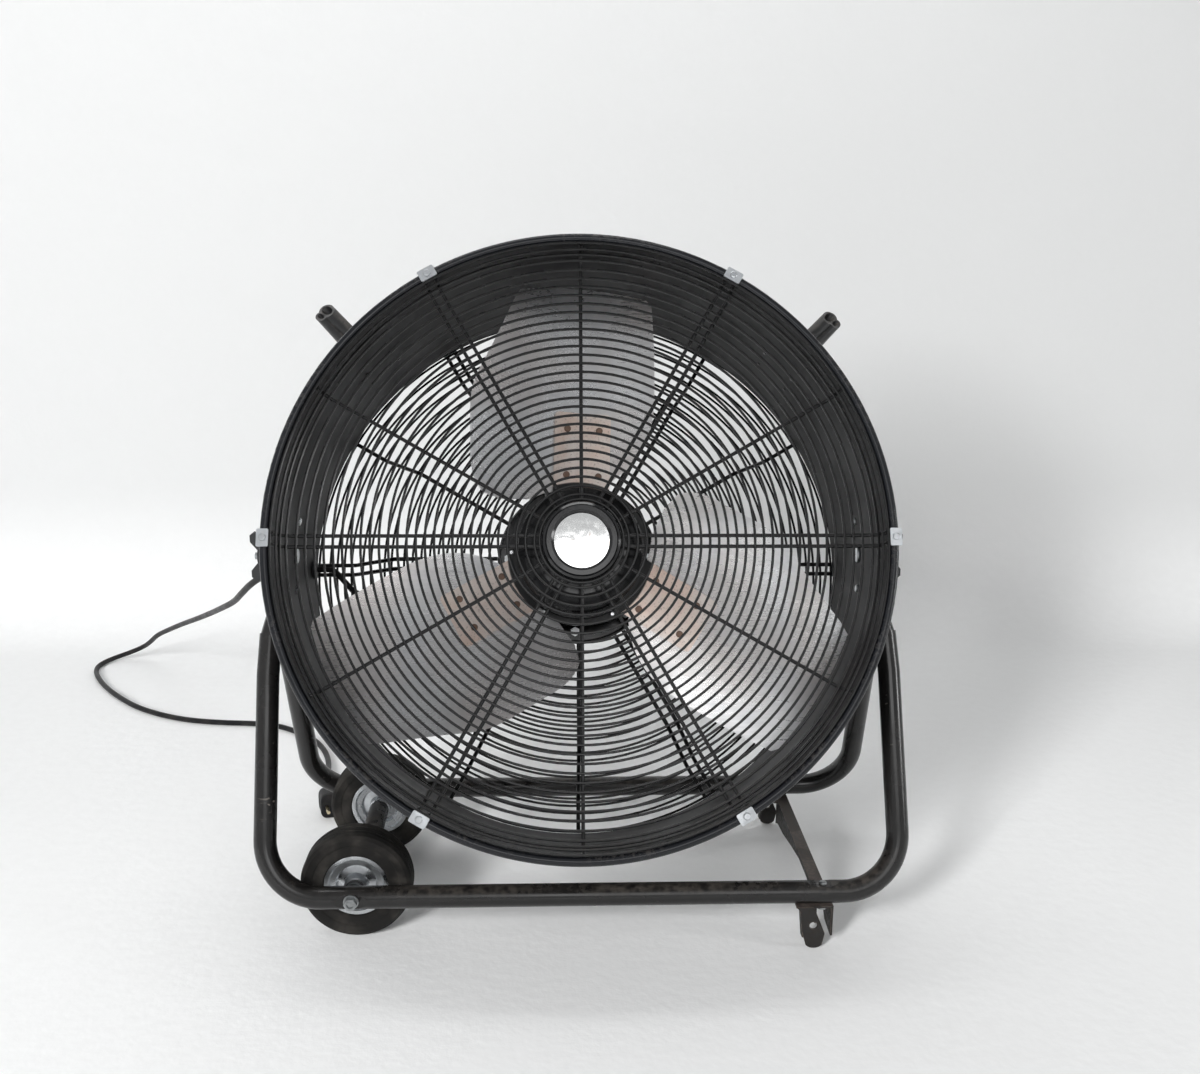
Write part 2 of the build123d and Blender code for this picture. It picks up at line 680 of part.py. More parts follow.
def grip(angle):
    """Handle of tube squashed into two lobes on a curved saddle, its open end cut on a slant."""
    with BuildPart() as handle:
        with BuildSketch(polar_plane(angle - 5.4)):
            with Locations((PATCH_IN + PATCH_THICK / 2, GRIP_S)):
                RectangleRounded(PATCH_THICK, 60, 1.0)
        revolve(axis=DRUM_AXIS, revolution_arc=10.8)
        add(lobe(angle, BIG_LOBE))
        add(lobe(angle, SMALL_LOBE))
        for offset, wide, deep in LOBE_BORES:
            with BuildSketch(grip_plane(angle, WALL_R + 62)):
                with Locations((GRIP_SMALL_LOBE[angle] * offset, 0)):
                    Ellipse(wide, deep)
            extrude(amount=70, mode=Mode.SUBTRACT)
        for place in grip_rivet_planes():
            with Locations(place):
                Cylinder(2.1, 30, mode=Mode.SUBTRACT)
        end = grip_plane(angle, GRIP_CUT_R)
        facing = end.z_dir * cos(GRIP_CUT_LEAN) + DRUM.z_dir * sin(GRIP_CUT_LEAN)
        split(bisect_by=Plane(origin=end.origin, x_dir=end.x_dir, z_dir=facing), keep=Keep.BOTTOM)
    return handle.part - Cylinder(PATCH_IN, 400).moved(DRUM.location)


def rivets_on(planes, head_r, head_h, shank_r, shank_l):
    """Round-headed rivets, one on each plane."""
    return group([screw(plane, head_r, head_h, shank_r, shank_l) for plane in planes])


# ---- motor ----


def motor_flange():
    """Cast disc that bolts to the guard plate and carries the stator tube."""
    with BuildPart() as flange:
        with BuildSketch(DRUM.offset(MOUNT_FRONT_S + 0.1)):
            Circle(FLANGE_R)
            Circle(16.1, mode=Mode.SUBTRACT)
            with PolarLocations(MOUNT_BOLT_R, 8, start_angle=42):
                Circle(3.1, mode=Mode.SUBTRACT)
        extrude(amount=FLANGE_FRONT_S - MOUNT_FRONT_S - 0.1)
        edge = flange.edges().filter_by(GeomType.CIRCLE).sort_by(SortBy.RADIUS)[-2:]
        fillet(edge, 2.0)
    return flange.part


def mount_bolts():
    """Hexagon bolts from the flange through the guard plate, with their nuts."""
    solids = []
    for k in range(8):
        out = radial(42.0 + 45.0 * k)
        seat = DRUM.origin + out * MOUNT_BOLT_R + DRUM.z_dir * (FLANGE_FRONT_S + 0.1)
        front = Plane(origin=seat, z_dir=DRUM.z_dir)
        with BuildPart() as bolt:
            with BuildSketch(front):
                RegularPolygon(5.0, 6, major_radius=False)
            extrude(amount=4.0)
            with BuildSketch(front):
                Circle(3.0)
            extrude(amount=-20.5)
        solids.append(bolt.part)
        behind = seat + DRUM.z_dir * (MOUNT_REAR_S - FLANGE_FRONT_S - 0.2)
        rear = Plane(origin=behind, z_dir=DRUM.z_dir * -1)
        solids.append(hex_nut(rear, 10.0, 5.0, 3.05))
    return group(solids)


def stator_core():
    """Slotted iron stack on the stator tube."""
    with BuildPart() as core:
        with BuildSketch(DRUM.offset(-44)):
            Circle(52)
            Circle(16.1, mode=Mode.SUBTRACT)
            with PolarLocations(42, 12):
                Rectangle(24, 7, mode=Mode.SUBTRACT)
        extrude(amount=52)
    return core.part


def windings():
    """Copper end turns before and behind the stack."""
    front = turned([(24, 8.2), (46, 8.2), (48, 12), (46, 20), (40, 22), (28, 22), (23, 18)])
    rear = turned([(24, -44.2), (46, -44.2), (48, -48), (46, -56), (40, -58), (28, -58), (23, -54)])
    return group([front, rear])


def rotor_can():
    """Turning motor shell: plain skirt, blade flange, ring of vents and a low dome."""
    skirt = [(68.5, -60), (CAN_R, -60), (CAN_R, 2.5), (83, 2.5), (83, 5.8), (CAN_R, 5.8), (CAN_R, 52)]
    dome = [(70, 56), (64, 59.5), (52, 62), (36, 63.6), (20, 64.2), (SHAFT_R + 0.05, 64.2)]
    boss = [(SHAFT_R + 0.05, 46), (15, 46), (16, 56), (34, 58.4)]
    inside = [(50, 57.2), (60, 55), (66, 50), (68.5, 44)]
    with BuildPart() as can:
        add(turned(skirt + dome + boss + inside))
        with Locations(DRUM.offset(45)):
            with PolarLocations(CAN_R, 72):
                Box(16, 3, 9, mode=Mode.SUBTRACT)
        with BuildSketch(DRUM.offset(2)):
            with PolarLocations(CLAMP_SCREW_R, 6, start_angle=BLADE_ANGLES[0] + 30):
                Circle(2.05)
        extrude(amount=6, mode=Mode.SUBTRACT)
    return can.part


def switch_housing():
    """Round terminal housing behind the guard plate, open toward the motor."""
    with BuildPart() as housing:
        rear, front = HOUSING_REAR_S, MOUNT_REAR_S - 0.2
        outside = [(STEM_R + 0.1, rear), (HOUSING_R - 4, rear), (HOUSING_R, rear + 4), (HOUSING_R, front - 3)]
        lip = [(HOUSING_R + 7, front - 3), (HOUSING_R + 7, front), (HOUSING_R - 2.5, front)]
        inside = [(HOUSING_R - 2.5, rear + 5), (HOUSING_R - 5, rear + 2.5), (STEM_R + 0.1, rear + 2.5)]
        add(turned(outside + lip + inside))
        with Locations(DRUM.offset(GLAND_S)):
            with Locations((-HOUSING_R, LEAD_T, 0)):
                Cylinder(4.0, 30, rotation=(0, 90, 0), mode=Mode.SUBTRACT)
    return housing.part


GLAND_S = -(GLAND.Y * cos(TILT)) + (GLAND.Z - PIVOT_Z) * sin(TILT)
GLAND_T = GLAND.Y * sin(TILT) + (GLAND.Z - PIVOT_Z) * cos(TILT)
LEAD_T = -34.0


def motor_lead():
    """Lead from the terminal housing between the guard rods to the gland in the wall."""
    lead_plane = DRUM.offset(GLAND_S)
    route = [(-56, LEAD_T), (-276, LEAD_T), (-304, GLAND_T), (-323.8, GLAND_T)]
    return pipe(route, [18.0, 14.0], 3.5, plane=lead_plane)


def cord_gland():
    """Strain relief through the drum wall: lock nut inside, body and collar outside."""
    inner = Plane(origin=(-(WALL_R - 0.6), GLAND.Y, GLAND.Z), z_dir=(1, 0, 0))
    with BuildPart() as gland:
        with BuildSketch(Plane(origin=(GLAND.X, GLAND.Y, GLAND.Z), z_dir=(1, 0, 0))):
            Circle(8.0)
        extrude(amount=-(WALL_R - 6) - GLAND.X)
        with BuildSketch(Plane(origin=(-(PATCH_IN + 0.3), GLAND.Y, GLAND.Z), z_dir=(-1, 0, 0))):
            RegularPolygon(10.5, 6, major_radius=False)
        extrude(amount=7)
        with BuildSketch(inner):
            RegularPolygon(10.5, 6, major_radius=False)
        extrude(amount=4)
    return gland.part


def speed_knob():
    """Rotary switch knob with a raised pointer bar on the back of the housing."""
    with BuildPart() as knob:
        with BuildSketch(DRUM.offset(HOUSING_REAR_S - 0.3)):
            Circle(17)
        extrude(amount=-6)
        with BuildSketch(DRUM.offset(HOUSING_REAR_S - 6)):
            SlotOverall(32, 10)
        extrude(amount=-11)
        with BuildSketch(DRUM.offset(HOUSING_REAR_S - 8)):
            Circle(STEM_R)
        extrude(amount=20)
    return knob.part


def switch_body():
    """Rotary switch inside the housing wall, with a bore for the knob stem."""
    with BuildPart() as body:
        with BuildSketch(DRUM.offset(HOUSING_REAR_S + 2.7)):
            RectangleRounded(28, 28, 2)
            Circle(STEM_R + 0.05, mode=Mode.SUBTRACT)
        extrude(amount=14)
    return body.part


# ---- rotor ----


def camber_sheet(angle, inner, outer, reach):
    """Curved sheet between two radii about the camber axis of a blade."""
    plane = Plane(origin=DRUM.origin, x_dir=clockwise(angle), z_dir=radial(angle) * -1)
    with BuildPart() as sheet:
        with BuildSketch(plane):
            with Locations((CAMBER_T, CAMBER_S)):
                Circle(outer)
                Circle(inner, mode=Mode.SUBTRACT)
        extrude(amount=-reach)
    return sheet.part


def rivet_planes(angle, sheet_radius):
    """Seats of the blade rivets on a sheet surface, facing the front of the fan."""
    places = []
    across = clockwise(angle)
    out = radial(angle)
    for t in (-RIVET_T, RIVET_T):
        lean = asin((t - CAMBER_T) / CAMBER_R)
        toward = across * -sin(lean) + DRUM.z_dir * cos(lean)
        centre = DRUM.origin + across * CAMBER_T + DRUM.z_dir * CAMBER_S
        for rad in RIVET_RADII:
            places.append(Plane(origin=centre - toward * sheet_radius + out * rad, z_dir=toward))
    return places


def blade(angle):
    """Cambered sheet blade, drilled for its four rivets."""
    tip = BLADE_REACH
    face = Plane(origin=DRUM.origin - DRUM.z_dir * 20, x_dir=clockwise(angle), z_dir=DRUM.z_dir)
    with BuildPart() as sheet:
        add(camber_sheet(angle, CAMBER_R - BLADE_HALF_SHEET, CAMBER_R + BLADE_HALF_SHEET, 330))
        with BuildSketch(face) as outline:
            with BuildLine():
                Spline((79, tip - 14), (82.5, tip - 55), (84.5, 205), (82.5, 162), (72, 129), (50, 100))
                Polyline((50, 100), (36, 88), (-44, 68), (-61, 60), (-92, 57), (-112, 62))
                trailing = [(-112, tip - 93), (-98, tip - 58), (-86, tip - 26)]
                Spline((-112, 62), (-124, 82), (-128, 120), (-127, 187), *trailing)
                Line((-86, tip - 26), (-78, tip - 9.8))
                ThreePointArc((-78, tip - 9.8), (0, tip), (72.5, tip - 8.3))
                Line((72.5, tip - 8.3), (79, tip - 14))
            make_face()
        extrude(amount=120, mode=Mode.INTERSECT)
        for place in rivet_planes(angle, ARM_IN):
            with Locations(place):
                Cylinder(2.05, 20, mode=Mode.SUBTRACT)
    return sheet.part


def spider():
    """Three-armed blade carrier: clamping ring, short collar and twisted arms."""
    arms = []
    for angle in BLADE_ANGLES:
        face = Plane(origin=DRUM.origin - DRUM.z_dir * 20, x_dir=clockwise(angle), z_dir=DRUM.z_dir)
        with BuildPart() as arm:
            add(camber_sheet(angle, ARM_IN, ARM_OUT, 200))
            with BuildSketch(face):
                with Locations((0, (62 + ARM_END) / 2)):
                    RectangleRounded(2 * ARM_HALF, ARM_END - 62, 5)
            extrude(amount=120, mode=Mode.INTERSECT)
            for place in rivet_planes(angle, ARM_IN):
                with Locations(place):
                    Cylinder(2.05, 20, mode=Mode.SUBTRACT)
        arms.append(arm.part)
    with BuildPart() as carrier:
        add(turned([(CAN_R - 1, 6), (83, 6), (83, 8.5), (76, 8.5), (76, 25), (CAN_R - 1, 25)]))
        for arm in arms:
            add(arm)
        with Locations(DRUM):
            Cylinder(CAN_R + 0.1, 400, mode=Mode.SUBTRACT)
        with BuildSketch(DRUM.offset(4)):
            with PolarLocations(CLAMP_SCREW_R, 6, start_angle=BLADE_ANGLES[0] + 30):
                Circle(2.05)
        extrude(amount=40, mode=Mode.SUBTRACT)
    return carrier.part


def spider_screws():
    """Screws that clamp the blade carrier on the can flange."""
    places = []
    for k in range(6):
        out = radial(BLADE_ANGLES[0] + 30 + 60 * k)
        places.append(Plane(origin=DRUM.origin + out * CLAMP_SCREW_R + DRUM.z_dir * 8.6, z_dir=DRUM.z_dir))
    return rivets_on(places, 3.0, 2.4, 2.0, 5.5)


# ---- cord ----


def cord_bends():
    """Bend radius at each inner route point: 0.45 of the shorter run over tan of half the turn."""
    route = [Vector(*p) for p in CORD_POINTS]
    bends = []
    for before, here, after in zip(route, route[1:], route[2:]):
        shorter = min((here - before).length, (after - here).length)
        half_turn = radians((here - before).get_angle(after - here)) / 2
        bends.append(0.45 * shorter / tan(half_turn))
    return bends


def plug_pieces():
    """Rubber plug body lying on one of its flats, and its two pins."""
    end = Vector(*CORD_POINTS[-1])
    axis = (end - Vector(*CORD_POINTS[-2])).normalized()
    level = Vector(-axis.Y, axis.X, 0)
    base = Plane(origin=end, x_dir=level, z_dir=axis)
    with BuildPart() as body:
        with BuildSketch(base):
            Circle(6.5)
        with BuildSketch(base.offset(16)):
            Circle(9.5)
        loft()
        with BuildSketch(base.offset(15)):
            RegularPolygon(13.5, 8, major_radius=False, rotation=22.5)
        with BuildSketch(base.offset(27)):
            RegularPolygon(PLUG_CENTRE_Z, 8, major_radius=False, rotation=22.5)
        loft()
        with BuildSketch(base.offset(26.5)):
            RegularPolygon(PLUG_CENTRE_Z, 8, major_radius=False, rotation=22.5)
        extrude(amount=30)
        for side in (-1, 1):
            with BuildSketch(base.offset(40)):
                with Locations((side * 9.5, 0)):
                    Circle(2.45)
            extrude(amount=30, mode=Mode.SUBTRACT)
    pins = []
    for side in (-1, 1):
        centre = base.offset(40.2).from_local_coords((side * 9.5, 0, 0))
        pins.append(disc(Plane(origin=centre, z_dir=axis), 2.4, 35))
    return body.part, group(pins)


# ---- build everything ----

save(u_frame(-1), "front_frame_tube")
save(u_frame(1), "rear_frame_tube")
save(foot_channel(), "foot_channel")
foot_screws, foot_nuts = foot_fasteners()
save(foot_screws, "foot_screws")
save(foot_nuts, "foot_nuts")
axle_rod, axle_sleeve, axle_washers, axle_nuts = axle_pieces()
save(axle_rod, "axle_rod")
save(axle_sleeve, "axle_sleeve")
save(axle_washers, "axle_washers")
save(axle_nuts, "axle_nuts")
for name, side in (("front", -1), ("rear", 1)):
    tyre, rim, bush = wheel_pieces(side)
    save(tyre, f"{name}_tyre")
    save(rim, f"{name}_rim")
    save(bush, f"{name}_bush")

save(drum_shell(), "drum_shell")
front_clips, front_clip_screws = clip_set(True)
save(front_clips, "front_clips")
save(front_clip_screws, "front_clip_screws")
rear_clips, rear_clip_screws = clip_set(False)
save(rear_clips, "rear_clips")
save(rear_clip_screws, "rear_clip_screws")
save(front_grille(), "front_grille")
save(rear_grille(), "rear_grille")
save(pivot_plates(), "pivot_plates")
save(rivets_on(patch_screw_planes(), 4.5, 2.4, 2.0, 8.0), "pivot_plate_screws")
pivot_bolts, pivot_spacers, pivot_washers = pivot_hardware()
save(pivot_bolts, "pivot_bolts")
save(pivot_spacers, "pivot_spacers")
save(pivot_washers, "pivot_washers")
save(tilt_knob(-1), "tilt_knob_left")
save(tilt_knob(1), "tilt_knob_right")
for name, angle in GRIP_ANGLES.items():
    save(grip(angle), name)
save(rivets_on(grip_rivet_planes(), 3.6, 2.0, 2.0, 5.5), "grip_rivets")

save(motor_flange(), "motor_flange")
save(mount_bolts(), "motor_mount_bolts")
save(disc(DRUM.offset(MOUNT_FRONT_S + 0.1), 16.0, 108.0, 10.0), "stator_tube")
save(stator_core(), "stator_core")
save(windings(), "stator_windings")
save(disc(DRUM.offset(26.0), 9.9, 9.0, SHAFT_R + 0.05), "bearing_front")
save(disc(DRUM.offset(-62.0), 9.9, 9.0, SHAFT_R + 0.05), "bearing_rear")
save(switch_housing(), "switch_housing")
save(switch_body(), "switch_body")
capacitor_seat = DRUM.offset(HOUSING_REAR_S + 2.8).from_local_coords((38, 0, 0))
save(disc(Plane(origin=capacitor_seat, z_dir=DRUM.z_dir), 13.0, 38.0), "capacitor")
save(cord_gland(), "cord_gland")
save(motor_lead(), "motor_lead")
save(speed_knob(), "speed_knob")

badge_front = [(30.5, 116.5), (30.5, 121.5), (33, 123.5), (38, 123.5), (39.5, 120.5), (42, 119), (43.3, 116)]
badge_back = [(43.3, 98), (40, 95), (36, 95), (36, 114), (27, 114), (27, 116.5)]
save(turned(badge_front + badge_back), "badge_ring")
save(disc(DRUM.offset(116.7), 30.2, 2.8), "badge_disc")

save(rotor_can(), "rotor_can")
save(disc(DRUM.offset(-46), 68.4, 56, 53.2), "rotor_ring")
save(disc(DRUM.offset(-62), SHAFT_R, 126), "rotor_shaft")
save(spider(), "spider")
save(spider_screws(), "spider_screws")
for k, angle in enumerate(BLADE_ANGLES):
    save(blade(angle), f"blade_{k + 1}")
rivet_places = [place for angle in BLADE_ANGLES for place in rivet_planes(angle, ARM_IN - 0.1)]
save(rivets_on(rivet_places, 4.0, 1.9, RIVET_R, 6.5), "blade_rivets")

bends = cord_bends()
cord = pipe(CORD_POINTS, bends, CORD_R)
save(cord, "power_cord")
plug_body, plug_pins = plug_pieces()
save(plug_body, "plug_body")
save(plug_pins, "plug_pins")
print("cord bend radii", [round(b) for b in bends])
print("cord volume over section (length)", cord.volume / (pi * CORD_R**2))
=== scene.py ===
"""Drum fan on a tilting tube stand: finishes, lamps, and the pieces a plain solid can't give.

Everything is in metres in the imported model's own frame: the floor is z = 0, +Z is up, and air
leaves toward -Y. The drum axis leaves the tilt axis toward the front, leaning up by the tilt.
"""

from __future__ import annotations

import json
import logging
from dataclasses import dataclass, field
from enum import Enum

import bpy
import numpy as np
from mathutils import Euler, Matrix, Vector

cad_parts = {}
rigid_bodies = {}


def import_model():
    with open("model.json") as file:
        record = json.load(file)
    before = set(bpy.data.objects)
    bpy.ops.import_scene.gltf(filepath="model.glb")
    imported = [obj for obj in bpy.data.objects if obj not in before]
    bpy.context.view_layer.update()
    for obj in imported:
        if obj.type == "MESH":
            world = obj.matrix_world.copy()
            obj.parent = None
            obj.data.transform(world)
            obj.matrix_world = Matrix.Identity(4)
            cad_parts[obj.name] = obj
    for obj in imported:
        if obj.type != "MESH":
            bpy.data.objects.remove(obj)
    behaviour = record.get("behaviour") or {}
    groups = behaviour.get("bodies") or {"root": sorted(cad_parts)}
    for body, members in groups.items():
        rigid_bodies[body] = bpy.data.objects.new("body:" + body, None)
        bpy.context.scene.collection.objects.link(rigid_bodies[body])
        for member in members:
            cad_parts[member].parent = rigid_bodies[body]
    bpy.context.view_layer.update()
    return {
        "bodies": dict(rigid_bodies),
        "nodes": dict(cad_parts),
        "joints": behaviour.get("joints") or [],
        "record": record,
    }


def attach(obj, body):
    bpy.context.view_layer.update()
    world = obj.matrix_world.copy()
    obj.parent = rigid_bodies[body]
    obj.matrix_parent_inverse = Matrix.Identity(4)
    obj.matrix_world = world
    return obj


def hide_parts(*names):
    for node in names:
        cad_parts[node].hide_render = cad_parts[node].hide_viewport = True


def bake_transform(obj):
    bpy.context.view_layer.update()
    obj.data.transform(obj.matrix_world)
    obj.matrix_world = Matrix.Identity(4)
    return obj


LOG = logging.getLogger("drum_fan")
MM = 0.001
TILT = np.radians(22.0)
PIVOT = np.array([0.0, 0.0, 0.422])
DRUM_RIGHT = np.array([1.0, 0.0, 0.0])
DRUM_UP = np.array([0.0, np.sin(TILT), np.cos(TILT)])
DRUM_FRONT = np.array([0.0, -np.cos(TILT), np.sin(TILT)])

Socket = bpy.types.NodeSocket
Colour = tuple[float, float, float]
Point = tuple[float, float, float]

SKY_TINT: Colour = (0.97, 0.985, 1.0)
HORIZON_LEVEL = 0.60


class Body(Enum):
    """Rigid bodies of the frame that new pieces ride on."""

    STAND = "stand"
    DRUM = "drum"


class Slot(Enum):
    """Material slots of the record, listed here; no new piece takes its finish from them."""

    RUBBER = "rubber"
    CHROME = "chrome"


class ZincTone(Enum):
    """Passivation colours of plated steel."""

    CLEAR = (0.62, 0.64, 0.66)
    DULL = (0.40, 0.415, 0.42)
    BRIGHT = (0.78, 0.79, 0.80)


def shade(colour: Colour, factor: float) -> Colour:
    """Lighter or darker colour: every part times the factor.

    Args:
        colour: The colour.
        factor: What its parts are multiplied by.

    Returns:
        The new colour.
    """
    red, green, blue = colour
    return (factor * red, factor * green, factor * blue)


# ---- node trees ----


class Graph:
    """Node tree of one finish; each method adds a node and gives back its output socket."""

    MIX_COLOURS = (6, 7)
    MIX_RESULT = 2
    BEVEL_SAMPLES = 4

    def __init__(self, name: str) -> None:
        """Start a material with a Principled shader on its output.

        Args:
            name: Name of the material.
        """
        self.material = bpy.data.materials.new(name)
        self.material.use_nodes = True
        self.tree = self.material.node_tree
        self.tree.nodes.clear()
        self.out = self.tree.nodes.new("ShaderNodeOutputMaterial")
        self.shader = self.tree.nodes.new("ShaderNodeBsdfPrincipled")
        self.tree.links.new(self.shader.outputs["BSDF"], self.out.inputs["Surface"])
        self.where = self.tree.nodes.new("ShaderNodeTexCoord")

    def feed(self, target: Socket, value: Socket | float | tuple) -> None:
        """Link a socket to an input, or write a plain value there.

        Args:
            target: Input socket.
            value: Output socket, number or colour.
        """
        if isinstance(value, bpy.types.NodeSocket):
            self.tree.links.new(value, target)
        elif isinstance(value, tuple):
            target.default_value = (*value, 1.0)[: len(target.default_value)]
        else:
            target.default_value = value

    def at(
        self, scale: Point = (1, 1, 1), turn: Point = (0, 0, 0), shift: Point = (0, 0, 0)
    ) -> Socket:
        """Object coordinates, stretched, turned and moved.

        Args:
            scale: Stretch along each axis.
            turn: Turn about each axis in radians.
            shift: Move after the turn.

        Returns:
            Vector socket.
        """
        node = self.tree.nodes.new("ShaderNodeMapping")
        self.tree.links.new(self.where.outputs["Object"], node.inputs["Vector"])
        node.inputs["Scale"].default_value = scale
        node.inputs["Rotation"].default_value = turn
        node.inputs["Location"].default_value = shift
        return node.outputs["Vector"]

    def noise(
        self, scale: float, where: Socket | None = None, detail: float = 3.0, warp: float = 0.0
    ) -> Socket:
        """Fractal noise from 0 to 1.

        Args:
            scale: Features per metre.
            where: Vector to read it at, plain object coordinates if left out.
            detail: Octaves.
            warp: Distortion.

        Returns:
            Value socket.
        """
        node = self.tree.nodes.new("ShaderNodeTexNoise")
        self.tree.links.new(where or self.where.outputs["Object"], node.inputs["Vector"])
        node.inputs["Scale"].default_value = scale
        node.inputs["Detail"].default_value = detail
        node.inputs["Distortion"].default_value = warp
        return node.outputs["Fac"]

    def ease(
        self, value: Socket, low: float, high: float, start: float = 0.0, end: float = 1.0
    ) -> Socket:
        """Value carried smoothly from (low, high) to (start, end), and held outside it.

        Args:
            value: Input value.
            low: Input that gives start.
            high: Input that gives end.
            start: Output at low.
            end: Output at high.

        Returns:
            Value socket.
        """
        node = self.tree.nodes.new("ShaderNodeMapRange")
        node.interpolation_type = "SMOOTHSTEP"
        self.tree.links.new(value, node.inputs["Value"])
        limits = {"From Min": low, "From Max": high, "To Min": start, "To Max": end}
        for key, number in limits.items():
            node.inputs[key].default_value = number
        return node.outputs["Result"]

    def math(self, kind: str, a: Socket | float, b: Socket | float) -> Socket:
        """One arithmetic step.

        Args:
            kind: Blender's name of the operation.
            a: First value.
            b: Second value.

        Returns:
            Value socket.
        """
        node = self.tree.nodes.new("ShaderNodeMath")
        node.operation = kind
        self.feed(node.inputs[0], a)
        self.feed(node.inputs[1], b)
        return node.outputs["Value"]

    def mix(self, share: Socket | float, a: Socket | Colour, b: Socket | Colour) -> Socket:
        """Colour between two colours.

        Args:
            share: Share of the second colour.
            a: First colour.
            b: Second colour.

        Returns:
            Colour socket.
        """
        node = self.tree.nodes.new("ShaderNodeMix")
        node.data_type = "RGBA"
        self.feed(node.inputs["Factor"], share)
        for place, colour in zip(self.MIX_COLOURS, (a, b)):
            self.feed(node.inputs[place], colour)
        return node.outputs[self.MIX_RESULT]

    def upward(self) -> Socket:
        """How far a surface faces up at rest.

        Returns:
            Value socket, from -1 to 1.
        """
        node = self.tree.nodes.new("ShaderNodeSeparateXYZ")
        self.tree.links.new(self.where.outputs["Normal"], node.inputs["Vector"])
        return node.outputs["Z"]

    def height(self) -> Socket:
        """Height above the floor at rest.

        Returns:
            Value socket, in metres.
        """
        node = self.tree.nodes.new("ShaderNodeSeparateXYZ")
        self.tree.links.new(self.where.outputs["Object"], node.inputs["Vector"])
        return node.outputs["Z"]

    def drum_polar(self) -> tuple[Socket, Socket]:
        """Distance from the drum axis and distance from its middle plane, in metres.

        The point is turned by the tilt about the pivot, which lays the axis along Y. The first
        value is then sqrt(x^2 + z^2) and the second is |y|.

        Returns:
            The two value sockets.
        """
        drop = (0.0, PIVOT[2] * np.sin(TILT), -PIVOT[2] * np.cos(TILT))
        node = self.tree.nodes.new("ShaderNodeSeparateXYZ")
        self.tree.links.new(self.at(turn=(TILT, 0.0, 0.0), shift=drop), node.inputs["Vector"])
        x, y, z = (node.outputs[key] for key in "XYZ")
        square = self.math("ADD", self.math("MULTIPLY", x, x), self.math("MULTIPLY", z, z))
        return self.math("POWER", square, 0.5), self.math("ABSOLUTE", y, 0.0)

    def edges(self, radius: float) -> Socket:
        """Mask of sharp edges: one minus the dot product of the plain and the rounded normal.

        Args:
            radius: Width of the edge in metres.

        Returns:
            Value socket, 1 on an edge.
        """
        rounded = self.tree.nodes.new("ShaderNodeBevel")
        rounded.samples = self.BEVEL_SAMPLES
        rounded.inputs["Radius"].default_value = radius
        plain = self.tree.nodes.new("ShaderNodeNewGeometry")
        dot = self.tree.nodes.new("ShaderNodeVectorMath")
        dot.operation = "DOT_PRODUCT"
        self.tree.links.new(rounded.outputs["Normal"], dot.inputs[0])
        self.tree.links.new(plain.outputs["Normal"], dot.inputs[1])
        return self.ease(dot.outputs["Value"], 0.99, 0.85)

    def relief(self, height: Socket, depth: float, strength: float = 1.0) -> Socket:
        """Normal of a surface with a height pattern.

        Args:
            height: Pattern from 0 to 1.
            depth: Height of the pattern in metres.
            strength: Share of it that shows.

        Returns:
            Normal socket.
        """
        node = self.tree.nodes.new("ShaderNodeBump")
        node.inputs["Distance"].default_value = depth
        node.inputs["Strength"].default_value = strength
        self.tree.links.new(height, node.inputs["Height"])
        return node.outputs["Normal"]

    def surface(
        self, colour: Socket | Colour, roughness: Socket | float, metal: Socket | float,
        normal: Socket, specular: float = 0.5,
    ) -> bpy.types.Material:
        """Fill in the shader.

        Args:
            colour: Base colour.
            roughness: Roughness.
            metal: Share of bare metal.
            normal: Normal of the relief.
            specular: Specular level.

        Returns:
            The finished material.
        """
        self.feed(self.shader.inputs["Base Color"], colour)
        self.feed(self.shader.inputs["Roughness"], roughness)
        self.feed(self.shader.inputs["Metallic"], metal)
        self.shader.inputs["Specular IOR Level"].default_value = specular
        self.tree.links.new(normal, self.shader.inputs["Normal"])
        return self.material

    def blend_with(self, kind: str, share: Socket) -> bpy.types.Node:
        """Mix the finished surface with another shader.

        Args:
            kind: Type of the other shader's node.
            share: Share of the other shader.

        Returns:
            The other shader's node.
        """
        before = self.out.inputs["Surface"].links[0].from_socket
        other = self.tree.nodes.new(kind)
        mixer = self.tree.nodes.new("ShaderNodeMixShader")
        self.tree.links.new(share, mixer.inputs[0])
        self.tree.links.new(before, mixer.inputs[1])
        self.tree.links.new(other.outputs[0], mixer.inputs[2])
        self.tree.links.new(mixer.outputs[0], self.out.inputs["Surface"])
        return other


# ---- finishes ----


